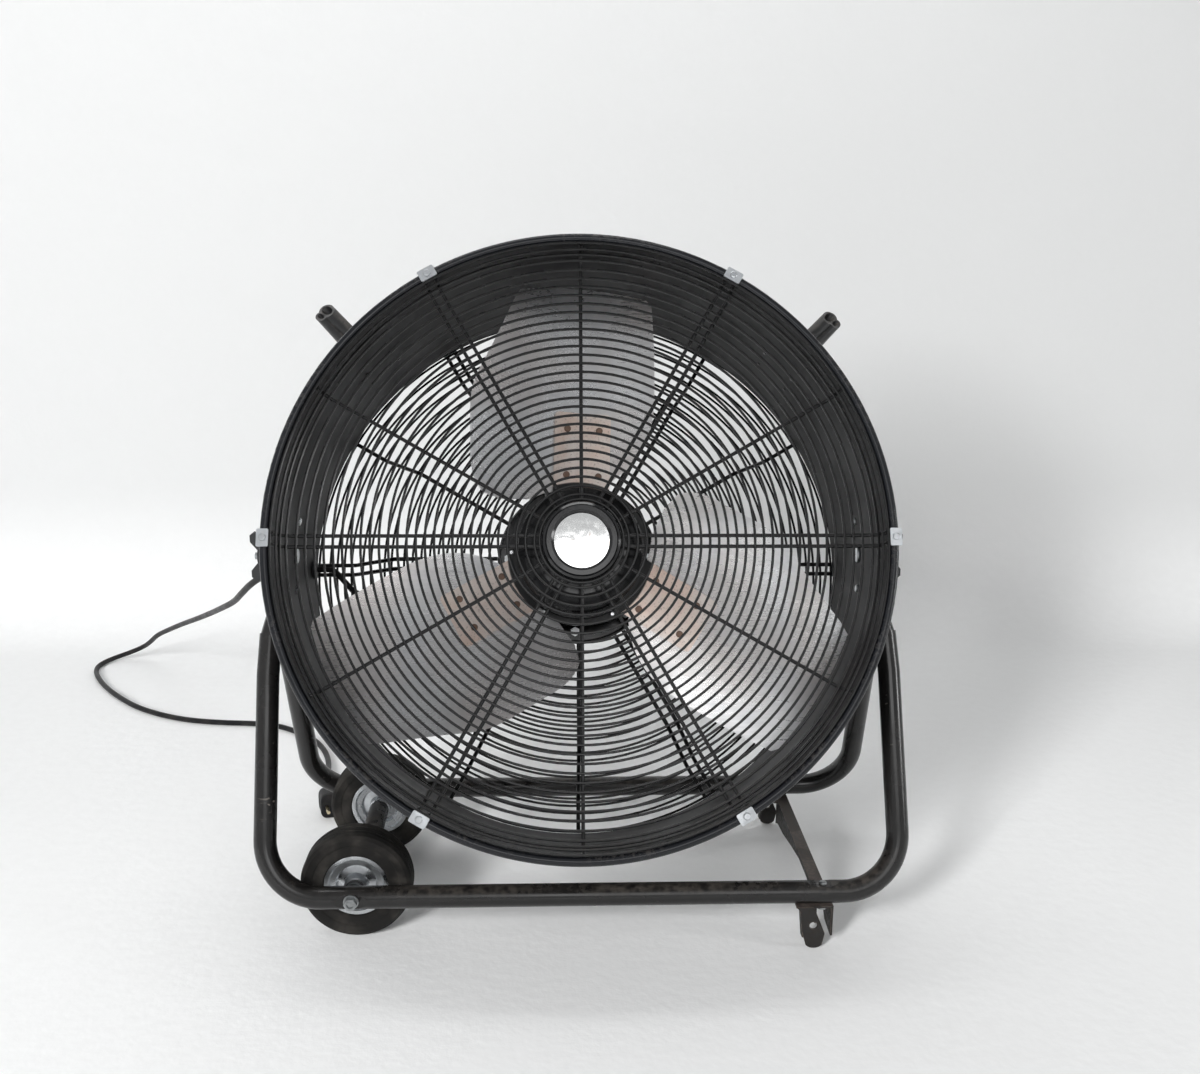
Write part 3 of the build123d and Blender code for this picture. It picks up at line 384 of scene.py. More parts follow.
@dataclass(frozen=True)
class Paint:
    """Black stoved paint with orange peel, settled dust and rubbed places."""

    name: str
    colour: Colour
    roughness: float
    gloss_spread: float = 0.08
    peel: float = 0.02 * MM
    dust: float = 0.2
    rubbed: float = 0.0
    specular: float = 0.4
    dust_colour: Colour = (0.20, 0.175, 0.15)
    bare_colour: Colour = (0.30, 0.27, 0.24)

    def make(self) -> bpy.types.Material:
        """Node material of this paint.

        Returns:
            The finished material.
        """
        g = Graph(self.name)
        cloud = g.noise(9.0, detail=4)
        fine = g.noise(140.0, detail=4)
        lying = g.math("MULTIPLY", g.ease(g.upward(), 0.25, 0.95), g.ease(cloud, 0.35, 0.7))
        dusty = g.math("MULTIPLY", g.math("MULTIPLY", lying, g.ease(fine, 0.3, 0.65)), self.dust)
        haze = g.mix(g.ease(fine, 0.35, 0.8, 0.0, 0.5), self.colour, shade(self.colour, 1.9))
        base = g.mix(dusty, haze, self.dust_colour)
        gloss, dull = self.roughness - self.gloss_spread, self.roughness + self.gloss_spread
        rough = g.ease(cloud, 0.3, 0.7, gloss, dull)
        rough = g.math("ADD", rough, g.math("MULTIPLY", dusty, 0.6))
        normal = g.relief(g.noise(420.0, detail=2), self.peel)
        metal: Socket | float = 0.0
        if self.rubbed > 0.0:
            stroke = g.noise(260.0, g.at((0.06, 1.0, 1.0)), detail=5, warp=0.4)
            patch = g.ease(g.noise(14.0), 0.52, 0.62)
            spots = g.math("MULTIPLY", g.ease(stroke, 0.66, 0.72), patch)
            bare = g.math("MULTIPLY", spots, self.rubbed)
            base = g.mix(bare, base, self.bare_colour)
            metal = g.math("MULTIPLY", bare, 0.7)
        return g.surface(base, rough, metal, normal, self.specular)


@dataclass(frozen=True)
class DrumPaint:
    """Glossy blue-black enamel on the outside and the rims, and a dull black bore whose darker
    colour is partly painted shade inside the drum.
    """

    name: str = "drum_enamel"
    outside: Colour = (0.006, 0.0066, 0.0085)
    # Darker black for the bore: its duller paint, and partly painted shade inside the drum.
    bore: Colour = (0.0050, 0.0050, 0.0055)
    dust_colour: Colour = (0.16, 0.145, 0.13)
    film_colour: Colour = (0.035, 0.034, 0.034)
    outside_gloss: tuple[float, float] = (0.14, 0.24)
    bore_gloss: tuple[float, float] = (0.55, 0.70)
    specular: float = 0.38
    wall: float = 0.3307
    half: float = 0.1315
    edge: float = 0.4 * MM

    def make(self) -> bpy.types.Material:
        """Node material: the bore is where the distance from the axis is under the wall's.

        Returns:
            The finished material.
        """
        g = Graph(self.name)
        radius, station = g.drum_polar()
        inside = g.ease(radius, self.wall + self.edge, self.wall - self.edge)
        inside = g.math("MULTIPLY", inside, g.ease(station, self.half + MM, self.half - MM))
        cloud = g.noise(11.0, detail=4, warp=0.4)
        fine = g.noise(190.0, detail=4)
        film = g.math("MULTIPLY", g.ease(cloud, 0.38, 0.7), g.ease(fine, 0.35, 0.7))
        # Outside enamel, and inside the bore a darker black that is partly painted shade.
        enamel = g.mix(inside, self.outside, self.bore)
        settled = g.ease(film, 0.05, 0.7, 0.0, 0.2)
        lying = g.math("MULTIPLY", g.ease(g.upward(), 0.1, 0.95), settled)
        base = g.mix(lying, enamel, self.dust_colour)
        base = g.mix(g.ease(film, 0.2, 0.9, 0.0, 0.25), base, self.film_colour)
        gloss = g.ease(cloud, 0.3, 0.7, *self.outside_gloss)
        dull = g.ease(cloud, 0.3, 0.7, *self.bore_gloss)
        rough = g.math("MULTIPLY", g.math("SUBTRACT", dull, gloss), inside)
        rough = g.math("ADD", g.math("ADD", rough, gloss), g.math("MULTIPLY", lying, 0.8))
        normal = g.relief(g.noise(300.0, detail=2), 0.03 * MM)
        return g.surface(base, rough, 0.0, normal, self.specular)


@dataclass(frozen=True)
class SpiderPlate:
    """Cast black collar in the middle and plate arms outside it, whose warm patches are a painted
    reflection of warm surroundings.
    """

    name: str = "spider_plate"
    collar: float = 84 * MM
    plate: Colour = (0.84, 0.76, 0.71)
    warm: Colour = (0.84, 0.66, 0.57)
    brown_tone: Colour = (0.16, 0.11, 0.09)
    black: Colour = (0.005, 0.005, 0.0055)

    def make(self) -> bpy.types.Material:
        """Node material: the collar is where the distance from the axis is under its radius.

        Returns:
            The finished material.
        """
        g = Graph(self.name)
        radius, _ = g.drum_polar()
        inner = g.ease(radius, self.collar + MM, self.collar - MM)
        cloud = g.noise(14.0, detail=4, warp=0.7)
        fine = g.noise(420.0, detail=4)
        # Warm patches on the arms: a painted reflection of warm surroundings.
        arm = g.mix(g.ease(cloud, 0.36, 0.66), self.plate, self.warm)
        arm = g.mix(g.ease(fine, 0.55, 0.75, 0.0, 0.5), arm, self.brown_tone)
        base = g.mix(inner, arm, self.black)
        metal = g.math("SUBTRACT", 1.0, inner)
        rough = g.math("ADD", g.ease(fine, 0.3, 0.7, 0.30, 0.44), g.math("MULTIPLY", inner, 0.05))
        return g.surface(base, rough, metal, g.relief(fine, 0.03 * MM))


@dataclass(frozen=True)
class MillSheet:
    """Rolled aluminium sheet: fine rolling lines, soft stains, and in places a warm cast that is a
    painted reflection of warm surroundings.
    """

    name: str
    colour: Colour
    painted_reflection_tint: Colour
    painted_reflection_share: float = 0.5
    roughness: float = 0.36
    lines: Point = (0.05, 1.0, 1.0)

    def make(self) -> bpy.types.Material:
        """Node material of this sheet.

        Returns:
            The finished material.
        """
        g = Graph(self.name)
        cloud = g.noise(7.0, detail=3, warp=0.6)
        rolled = g.noise(500.0, g.at(self.lines), detail=2)
        film = g.noise(22.0, detail=2)
        # Warm patches: a painted reflection of warm surroundings, mixed into the base colour.
        warm = g.math("MULTIPLY", g.ease(cloud, 0.38, 0.66), self.painted_reflection_share)
        base = g.mix(warm, self.colour, self.painted_reflection_tint)
        base = g.mix(g.ease(film, 0.35, 0.7, 0.0, 0.22), base, shade(self.colour, 0.6))
        base = g.mix(g.ease(rolled, 0.35, 0.7, 0.0, 0.12), base, shade(self.colour, 0.5))
        rough = g.math("ADD", g.ease(rolled, 0.3, 0.7, -0.03, 0.03), self.roughness)
        rough = g.math("ADD", rough, g.ease(film, 0.4, 0.8, 0.0, 0.06))
        return g.surface(base, rough, 1.0, g.relief(cloud, 0.8 * MM, 0.35))


@dataclass(frozen=True)
class Zinc:
    """Zinc-plated steel with a faint passivation tint and dull blotches."""

    name: str
    tone: ZincTone
    roughness: float = 0.34
    grime: float = 0.35
    speck_colour: Colour = (0.20, 0.17, 0.13)

    def make(self) -> bpy.types.Material:
        """Node material of this plating.

        Returns:
            The finished material.
        """
        g = Graph(self.name)
        cloud = g.noise(55.0, detail=4, warp=0.4)
        speck = g.noise(700.0, detail=3)
        tone: Colour = self.tone.value
        base = g.mix(g.ease(cloud, 0.42, 0.72, 0.0, self.grime), tone, shade(tone, 0.42))
        base = g.mix(g.ease(speck, 0.62, 0.75, 0.0, 0.35), base, self.speck_colour)
        rough = g.ease(cloud, 0.3, 0.7, self.roughness - 0.08, self.roughness + 0.16)
        return g.surface(base, rough, 1.0, g.relief(speck, 0.03 * MM))


@dataclass(frozen=True)
class WornStrap:
    """Folded strap with thin black paint, a lighter brown tone on its upward faces and bare rubbed
    edges.
    """

    name: str = "foot_strap_worn"
    paint: tuple[Colour, Colour] = ((0.009, 0.008, 0.0075), (0.020, 0.017, 0.015))
    brown_tone: tuple[Colour, Colour] = ((0.055, 0.045, 0.040), (0.12, 0.10, 0.088))
    bare: Colour = (0.30, 0.24, 0.20)
    rubbed_width: float = 0.9 * MM

    def make(self) -> bpy.types.Material:
        """Node material of this strap.

        Returns:
            The finished material.
        """
        g = Graph(self.name)
        cloud = g.noise(16.0, detail=5, warp=0.5)
        fine = g.noise(260.0, detail=4)
        paint = g.mix(g.ease(fine, 0.3, 0.7), *self.paint)
        brown_tone = g.mix(g.ease(fine, 0.35, 0.7), *self.brown_tone)
        # Faces that point up take the lighter brown tone, and the rest keeps the black paint.
        facing = g.ease(g.upward(), 0.2, 0.9, 0.0, 0.5)
        top = g.math("ADD", facing, g.ease(cloud, 0.45, 0.62, 0.0, 0.3))
        base = g.mix(g.ease(top, 0.2, 0.8), paint, brown_tone)
        chips = g.ease(g.noise(90.0, detail=4), 0.4, 0.6)
        worn = g.math("MULTIPLY", g.edges(self.rubbed_width), chips)
        base = g.mix(g.math("MULTIPLY", worn, 0.8), base, self.bare)
        rough = g.ease(fine, 0.3, 0.7, 0.5, 0.78)
        return g.surface(base, rough, g.math("MULTIPLY", worn, 0.6), g.relief(fine, 0.08 * MM))


@dataclass(frozen=True)
class Rubber:
    """Moulded rubber with a soft bloom of dust and a fine moulding grain."""

    name: str
    colour: Colour
    roughness: float = 0.72
    grain: float = 900.0
    bloom: float = 0.35
    bloom_colour: Colour = (0.085, 0.078, 0.070)
    specular: float = 0.22

    def make(self) -> bpy.types.Material:
        """Node material of this rubber.

        Returns:
            The finished material.
        """
        g = Graph(self.name)
        cloud = g.noise(40.0, detail=4)
        fine = g.noise(self.grain, detail=3)
        base = g.mix(g.ease(cloud, 0.4, 0.75, 0.0, self.bloom), self.colour, self.bloom_colour)
        rough = g.ease(cloud, 0.3, 0.7, self.roughness - 0.08, self.roughness + 0.08)
        return g.surface(base, rough, 0.0, g.relief(fine, 0.04 * MM), self.specular)


@dataclass(frozen=True)
class Nylon:
    """Injection-moulded plastic with a fine spark-eroded grain."""

    name: str
    colour: Colour
    roughness: float = 0.42
    grain: float = 0.02 * MM

    def make(self) -> bpy.types.Material:
        """Node material of this plastic.

        Returns:
            The finished material.
        """
        g = Graph(self.name)
        cloud = g.noise(45.0, detail=3)
        fine = g.noise(1400.0, detail=2)
        base = g.mix(g.ease(cloud, 0.35, 0.75, 0.0, 0.4), self.colour, shade(self.colour, 2.0))
        rough = g.ease(cloud, 0.3, 0.7, self.roughness - 0.05, self.roughness + 0.07)
        return g.surface(base, rough, 0.0, g.relief(fine, self.grain))


@dataclass(frozen=True)
class Polished:
    """Bright plated face with a slow waviness that breaks its reflections up, and brown swirls in
    its colour that are painted reflections.
    """

    name: str
    colour: Colour
    roughness: float
    painted_reflection_tint: Colour = (0.42, 0.34, 0.30)

    def make(self) -> bpy.types.Material:
        """Node material of this face.

        Returns:
            The finished material.
        """
        g = Graph(self.name)
        slow = g.noise(34.0, detail=2, warp=1.4)
        film = g.noise(160.0, detail=4)
        # Brown swirls that follow the slow waviness: painted reflection in the base colour.
        base = g.mix(g.ease(slow, 0.52, 0.66, 0.0, 0.75), self.colour, self.painted_reflection_tint)
        rough = g.ease(film, 0.4, 0.8, self.roughness, self.roughness + 0.12)
        return g.surface(base, rough, 1.0, g.relief(slow, 1.0 * MM, 0.22))


@dataclass(frozen=True)
class BareMetal:
    """Plain machined or cast metal with fine turning lines and dull patches."""

    name: str
    colour: Colour
    roughness: float = 0.4
    stretch: Point = (1.0, 1.0, 1.0)
    scale: float = 500.0

    def make(self) -> bpy.types.Material:
        """Node material of this metal.

        Returns:
            The finished material.
        """
        g = Graph(self.name)
        lines = g.noise(self.scale, g.at(self.stretch), detail=3)
        cloud = g.noise(30.0, detail=4)
        base = g.mix(g.ease(cloud, 0.42, 0.75, 0.0, 0.6), self.colour, shade(self.colour, 0.5))
        rough = g.math("ADD", g.ease(lines, 0.3, 0.7, -0.06, 0.06), self.roughness)
        return g.surface(base, rough, 1.0, g.relief(lines, 0.03 * MM))


@dataclass(frozen=True)
class StudioPaper:
    """Pale matt floor and backdrop with a faint plaster texture; the upright part is greyer.

    It is clear from behind, and far from the middle rays see the horizon's level instead.
    """

    name: str = "studio_paper"
    floor: Colour = (0.95, 0.955, 0.955)
    wall: Colour = (0.70, 0.705, 0.705)
    mottle: Colour = (0.66, 0.66, 0.66)
    wall_from: float = 0.3
    haze_from: float = 2.8
    haze_to: float = 5.5

    def make(self) -> bpy.types.Material:
        """Node material of the floor and backdrop.

        Returns:
            The finished material.
        """
        g = Graph(self.name)
        grain = g.noise(55.0, detail=4)
        base = g.mix(g.ease(g.height(), 0.0, self.wall_from), self.floor, self.wall)
        base = g.mix(g.ease(grain, 0.3, 0.7, 0.0, 0.05), base, self.mottle)
        paper = g.surface(base, 0.9, 0.0, g.relief(grain, 1.2 * MM, 0.5), 0.1)
        reach = g.tree.nodes.new("ShaderNodeVectorMath")
        reach.operation = "LENGTH"
        g.tree.links.new(g.where.outputs["Object"], reach.inputs[0])
        rays = g.tree.nodes.new("ShaderNodeLightPath").outputs
        seen = g.math("MAXIMUM", rays["Is Camera Ray"], rays["Is Glossy Ray"])
        seen = g.math("MAXIMUM", seen, rays["Is Transmission Ray"])
        far = g.ease(reach.outputs["Value"], self.haze_from, self.haze_to)
        glow = g.blend_with("ShaderNodeEmission", g.math("MULTIPLY", seen, far))
        glow.inputs["Color"].default_value = (*SKY_TINT, 1.0)
        glow.inputs["Strength"].default_value = HORIZON_LEVEL
        behind = g.tree.nodes.new("ShaderNodeNewGeometry").outputs["Backfacing"]
        g.blend_with("ShaderNodeBsdfTransparent", behind)
        return paper


def dress(frame: dict, material: bpy.types.Material, *names: str) -> None:
    """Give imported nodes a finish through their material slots.

    Args:
        material: The finish.
        names: Node names.
    """
    for name in names:
        for place in frame["nodes"][name].material_slots:
            place.material = material
    LOG.info("%s on %s", material.name, ", ".join(names))


# ---- surfaces on grids ----


def quads(rows: int, columns: int, wrap_rows: bool, wrap_columns: bool) -> np.ndarray:
    """Corner numbers of the faces between neighbours of a grid, counted row by row.

    Args:
        rows: Number of rows of points.
        columns: Number of points in a row.
        wrap_rows: Whether the last row joins the first.
        wrap_columns: Whether the last point of a row joins its first.

    Returns:
        Array of four corner numbers per face.
    """
    number = np.arange(rows * columns).reshape(rows, columns)
    if wrap_rows:
        number = np.vstack([number, number[:1]])
    if wrap_columns:
        number = np.hstack([number, number[:, :1]])
    corners = [number[:-1, :-1], number[:-1, 1:], number[1:, 1:], number[1:, :-1]]
    return np.stack(corners, axis=-1).reshape(-1, 4)


def fans(rows: int, columns: int) -> np.ndarray:
    """Corner numbers of the triangles that close both ends of a wrapped grid with a centre point.

    Args:
        rows: Number of rows of points.
        columns: Number of points in a row.

    Returns:
        Array of three corner numbers per face; the two centres follow the grid's points.
    """
    first = np.arange(columns)
    after = np.roll(first, -1)
    last = (rows - 1) * columns
    start = np.full(columns, rows * columns)
    near = np.stack([start, after, first], axis=-1)
    far = np.stack([start + 1, last + first, last + after], axis=-1)
    return np.vstack([near, far])


def signed_volume(points: np.ndarray, faces: list[list[int]]) -> float:
    """Volume inside a closed mesh: the sum over triangles of a . (b x c) / 6.

    Args:
        points: Points of the mesh.
        faces: Corner numbers, three or four per face.

    Returns:
        The volume, below zero if the faces point inwards.
    """
    first = np.array([f[:3] for f in faces])
    second = np.array([[f[0], f[2], f[3]] for f in faces if len(f) == 4], int).reshape(-1, 3)
    tri = points[np.vstack([first, second])]
    return float(np.einsum("ij,ij->i", tri[:, 0], np.cross(tri[:, 1], tri[:, 2])).sum() / 6)


def skin(
    name: str, grid: np.ndarray, wrap_rows: bool = False, capped: bool = False
) -> bpy.types.Object:
    """Smooth closed mesh over a grid whose rows are rings.

    Args:
        name: Name of the piece.
        grid: Points, rows x columns x 3.
        wrap_rows: Whether the last ring joins the first.
        capped: Whether both ends are closed with a centre point.

    Returns:
        The new object, at the origin, with its faces outwards.
    """
    rows, columns = grid.shape[:2]
    points = grid.reshape(-1, 3)
    faces = quads(rows, columns, wrap_rows, True).tolist()
    if capped:
        points = np.vstack([points, grid[0].mean(axis=0), grid[-1].mean(axis=0)])
        faces += fans(rows, columns).tolist()
    if signed_volume(points - points.mean(axis=0), faces) < 0:
        faces = [face[::-1] for face in faces]
    mesh = bpy.data.meshes.new(name)
    mesh.from_pydata(points.tolist(), [], faces)
    mesh.polygons.foreach_set("use_smooth", np.ones(len(faces), bool))
    mesh.update()
    piece = bpy.data.objects.new(name, mesh)
    bpy.context.scene.collection.objects.link(piece)
    return piece


def rings(
    centres: np.ndarray, side: np.ndarray, up: np.ndarray, outline: np.ndarray
) -> np.ndarray:
    """Grid of points: centre + side * outline x + up * outline y, ring by ring.

    Args:
        centres: One centre per ring.
        side: Sideways unit vectors, one per ring.
        up: Upward unit vectors, one per ring.
        outline: Offsets in the plane of each ring, rows x columns x 2.

    Returns:
        Points, rows x columns x 3.
    """
    across = outline[..., :1] * side[:, None, :]
    return centres[:, None, :] + across + outline[..., 1:] * up[:, None, :]


def circle(columns: int) -> np.ndarray:
    """Unit circle as columns x 2: cosine and sine of equal steps of a full turn.

    Args:
        columns: Number of points.

    Returns:
        The points.
    """
    turn = np.linspace(0.0, 2 * np.pi, columns, endpoint=False)
    return np.stack([np.cos(turn), np.sin(turn)], axis=-1)


def settle(piece: bpy.types.Object, material: bpy.types.Material) -> None:
    """Give a new piece its finish.

    Args:
        piece: The piece.
        material: Its finish.
    """
    piece.data.materials.append(material)
    LOG.info("made %s with %s", piece.name, material.name)


# ---- camera ----


@dataclass
class Viewpoint:
    """Camera in front of the fan, a little above the drum."""

    place: Vector = field(default_factory=lambda: Vector((-0.03155, -1.39004, 0.77394)))
    down: float = 0.2329
    turn: float = -0.0399
    roll: float = 0.0078
    lens: float = 36.68

    def build(self) -> bpy.types.Object:
        """Make the camera and set it as the scene's.

        Returns:
            The camera.
        """
        data = bpy.data.cameras.new("studio_camera")
        data.sensor_fit = "HORIZONTAL"
        data.sensor_width = 36.0
        data.lens = self.lens
        camera = bpy.data.objects.new("studio_camera", data)
        level = Euler((np.pi / 2 - self.down, 0.0, self.turn), "XYZ").to_matrix()
        spin = Matrix.Rotation(self.roll, 3, "Z")
        camera.matrix_world = Matrix.Translation(self.place) @ (level @ spin).to_4x4()
        bpy.context.scene.collection.objects.link(camera)
        bpy.context.scene.camera = camera
        return camera


# ---- supply cord ----


@dataclass
class SupplyCord:
    """Round rubber cord from the gland down to the floor, and its moulded plug."""

    radius: float = 4.25 * MM
    length: float = 1.93
    boot_length: float = 29 * MM
    boot_radii: tuple[float, float] = (7.6 * MM, 5.3 * MM)
    cord_sides: int = 20
    groove_count: int = 7
    groove_depth: float = 0.9 * MM
    rib_pitch: float = 4.2 * MM
    rib_depth: float = 0.7 * MM
    ribbed: tuple[float, float] = (1.5 * MM, 15.5 * MM)
    grip_middle: float = 42 * MM
    grip_spread: float = 7.5 * MM
    grip_depth: float = 1.9 * MM
    ridge_pitch: float = 3.0 * MM
    ridge_depth: float = 0.35 * MM
    route: tuple[Point, ...] = (
        (-0.345, 0.095, 0.380),
        (-0.378, 0.095, 0.380),
        (-0.413, 0.124, 0.356),
        (-0.444, 0.183, 0.323),
        (-0.474, 0.262, 0.290),
        (-0.512, 0.342, 0.258),
        (-0.562, 0.452, 0.216),
        (-0.614, 0.558, 0.175),
        (-0.668, 0.656, 0.136),
        (-0.718, 0.738, 0.100),
        (-0.762, 0.796, 0.070),
        (-0.786, 0.832, 0.046),
        (-0.808, 0.855, 0.028),
        (-0.838, 0.861, 0.014),
        (-0.866, 0.848, 0.007),
        (-0.881, 0.821, 0.0044),
        (-0.877, 0.789, 0.0044),
        (-0.859, 0.750, 0.0044),
        (-0.830, 0.703, 0.0044),
        (-0.789, 0.651, 0.0044),
        (-0.741, 0.600, 0.0044),
        (-0.686, 0.562, 0.0044),
        (-0.632, 0.538, 0.0044),
        (-0.576, 0.527, 0.0044),
        (-0.522, 0.523, 0.0044),
        (-0.482, 0.512, 0.0044),
        (-0.446, 0.486, 0.0044),
        (-0.411, 0.451, 0.0044),
        (-0.389, 0.411, 0.0044),
        (-0.376, 0.373, 0.0046),
        (-0.369, 0.336, 0.007),
        (-0.3645, 0.300, 0.0118),
        (-0.360, 0.265, 0.018),
        (-0.3515, 0.238, 0.018),
    )

    def line(self) -> np.ndarray:
        """Points along the smooth NURBS line through the route.

        Returns:
            Points in order, from the gland to the plug.
        """
        data = bpy.data.curves.new("cord_line", "CURVE")
        data.dimensions = "3D"
        data.resolution_u = 12
        spline = data.splines.new("NURBS")
        spline.points.add(len(self.route) - 1)
        spline.points.foreach_set("co", np.array([(*p, 1.0) for p in self.route]).ravel())
        spline.order_u = 3
        spline.use_endpoint_u = True
        holder = bpy.data.objects.new("cord_line", data)
        mesh = bpy.data.meshes.new_from_object(holder)
        points = np.zeros(len(mesh.vertices) * 3)
        mesh.vertices.foreach_get("co", points)
        bpy.data.meshes.remove(mesh)
        bpy.data.objects.remove(holder)
        bpy.data.curves.remove(data)
        return points.reshape(-1, 3)

    def sheath(self) -> bpy.types.Object:
        """Round tube along the line: each ring stands square to the line's own direction.

        Returns:
            The cord, running from the gland to the plug.
        """
        path = self.line()
        ahead = np.gradient(path, axis=0)
        ahead /= np.linalg.norm(ahead, axis=1, keepdims=True)
        side = np.cross(ahead, [0.0, 0.0, 1.0])
        side /= np.linalg.norm(side, axis=1, keepdims=True)
        up = np.cross(side, ahead)
        outline = circle(self.cord_sides)[None] * np.full((len(path), 1, 1), self.radius)
        piece = skin("supply_cord", rings(path, side, up, outline), capped=True)
        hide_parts("power_cord")
        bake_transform(piece)
        return piece

    def boot(self) -> bpy.types.Object:
        """Tapered sleeve over the first run: its radius falls evenly, less a row of grooves.

        Returns:
            The sleeve.
        """
        share = np.linspace(0.0, 1.0, 90)
        groove = np.clip(np.cos(2 * np.pi * self.groove_count * share), 0.0, 1.0) ** 0.6
        fade = np.clip(share / 0.08, 0, 1) * np.clip((1 - share) / 0.08, 0, 1)
        outer = self.boot_radii[0] + (self.boot_radii[1] - self.boot_radii[0]) * share
        outer = outer - self.groove_depth * groove * fade
        inner = np.full(2, self.radius + 0.05 * MM)
        radius = np.concatenate([outer, inner])
        along = np.concatenate([share, [1.0, 0.0]]) * self.boot_length + 0.1 * MM
        centre = np.array(self.route[0]) + along[:, None] * np.array([-1.0, 0.0, 0.0])
        side = np.broadcast_to([0.0, 1.0, 0.0], centre.shape)
        up = np.broadcast_to([0.0, 0.0, 1.0], centre.shape)
        outline = radius[:, None, None] * circle(40)[None]
        return skin("cord_boot", rings(centre, side, up, outline), wrap_rows=True)

    def plug(self) -> bpy.types.Object:
        """Moulded plug of rings |x|^n + |y|^n = r^n, round at the neck and squarer ahead.

        Returns:
            The plug.
        """
        along = np.array([0.0, 1.0, 15.5, 19, 24, 29, 33, 44, 52, 55.4, 56.4, 56.4]) * MM
        half = np.array([4.6, 6.4, 9.2, 11.0, 15.6, 17.6, 17.9, 17.9, 17.9, 17.4, 16.0, 0.4]) * MM
        power = np.array([2.0, 2.0, 2.0, 2.3, 3.0, 3.8, 4.2, 4.2, 4.2, 4.2, 4.2, 4.2])
        fine = np.linspace(0.0, 1.0, 150)
        keys = np.linspace(0.0, 1.0, len(along))
        along, half, power = (np.interp(fine, keys, row) for row in (along, half, power))
        ribs = np.clip(np.sin(2 * np.pi * along / self.rib_pitch), 0.0, 1.0)
        ribbed = (along > self.ribbed[0]) & (along < self.ribbed[1])
        half = half - self.rib_depth * ribs * ribbed
        unit = circle(96)[None]
        reach = (np.abs(unit) ** power[:, None, None]).sum(axis=-1) ** (-1.0 / power[:, None])
        hollow = np.exp(-(((along - self.grip_middle) / self.grip_spread) ** 2))
        grip = hollow[:, None] * np.abs(unit[..., 0]) ** 6
        ridges = self.ridge_depth * np.cos(2 * np.pi * along / self.ridge_pitch)[:, None]
        radius = half[:, None] * reach - grip * (self.grip_depth + ridges)
        start, behind = np.array(self.route[-1]), np.array(self.route[-2])
        ahead = (start - behind) / np.linalg.norm(start - behind)
        side = np.cross(ahead, [0.0, 0.0, 1.0])
        centre = start + along[:, None] * ahead
        outline = radius[..., None] * unit
        sides = np.broadcast_to(side, centre.shape)
        ups = np.broadcast_to([0.0, 0.0, 1.0], centre.shape)
        return skin("moulded_plug", rings(centre, sides, ups, outline), capped=True)

    def build(self) -> None:
        """Make and dress the plug, the boot and the cord."""
        rubber = Rubber("cord_rubber", (0.010, 0.010, 0.011), 0.46, 1500.0, 0.2).make()
        plug = self.plug()
        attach(plug, Body.STAND.value)
        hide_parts("plug_body")
        settle(plug, rubber)
        boot = self.boot()
        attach(boot, Body.DRUM.value)
        settle(boot, rubber)
        settle(self.sheath(), rubber)


# ---- stand ----


@dataclass
class Stand:
    """Two bent tube frames, the axle between them and the folded foot."""

    tube_colour: Colour = (0.0075, 0.0070, 0.0068)
    brass_colour: Colour = (0.72, 0.62, 0.42)
    orange_peel: float = 0.05 * MM

    def dress(self, frame: dict) -> None:
        """Finish the tubes, the foot and the fasteners.
        """
        tube = Paint(
            "tube_black", self.tube_colour, 0.24, peel=self.orange_peel, dust=0.25, rubbed=0.6,
            specular=0.5,
        )
        dress(frame, tube.make(), "front_frame_tube", "rear_frame_tube", "axle_sleeve")
        dress(frame, WornStrap().make(), "foot_channel")
        plated = Zinc("axle_zinc", ZincTone.DULL, 0.38, 0.6).make()
        dress(frame, plated, "axle_nuts", "axle_washers", "axle_rod", "foot_screws", "foot_nuts")
        dress(frame, Zinc("washer_zinc", ZincTone.CLEAR).make(), "pivot_washers")
        dress(frame, BareMetal("plug_brass", self.brass_colour, 0.28).make(), "plug_pins")


@dataclass
class WheelPair:
    """Two rubber-tyred wheels with pressed plated rims."""

    tyre_colour: Colour = (0.012, 0.0115, 0.011)
    bush_colour: Colour = (0.020, 0.020, 0.021)

    def dress(self, frame: dict) -> None:
        """Finish both wheels.
        """
        rubber = Rubber("tyre_rubber", self.tyre_colour, 0.84, 620.0, 0.35).make()
        zinc = Zinc("rim_zinc", ZincTone.CLEAR, 0.28, 0.4).make()
        nylon = Nylon("bush_nylon", self.bush_colour).make()
        for name in ("front", "rear"):
            dress(frame, rubber, f"{name}_tyre")
            dress(frame, zinc, f"{name}_rim")
            dress(frame, nylon, f"{name}_bush")


# ---- drum ----


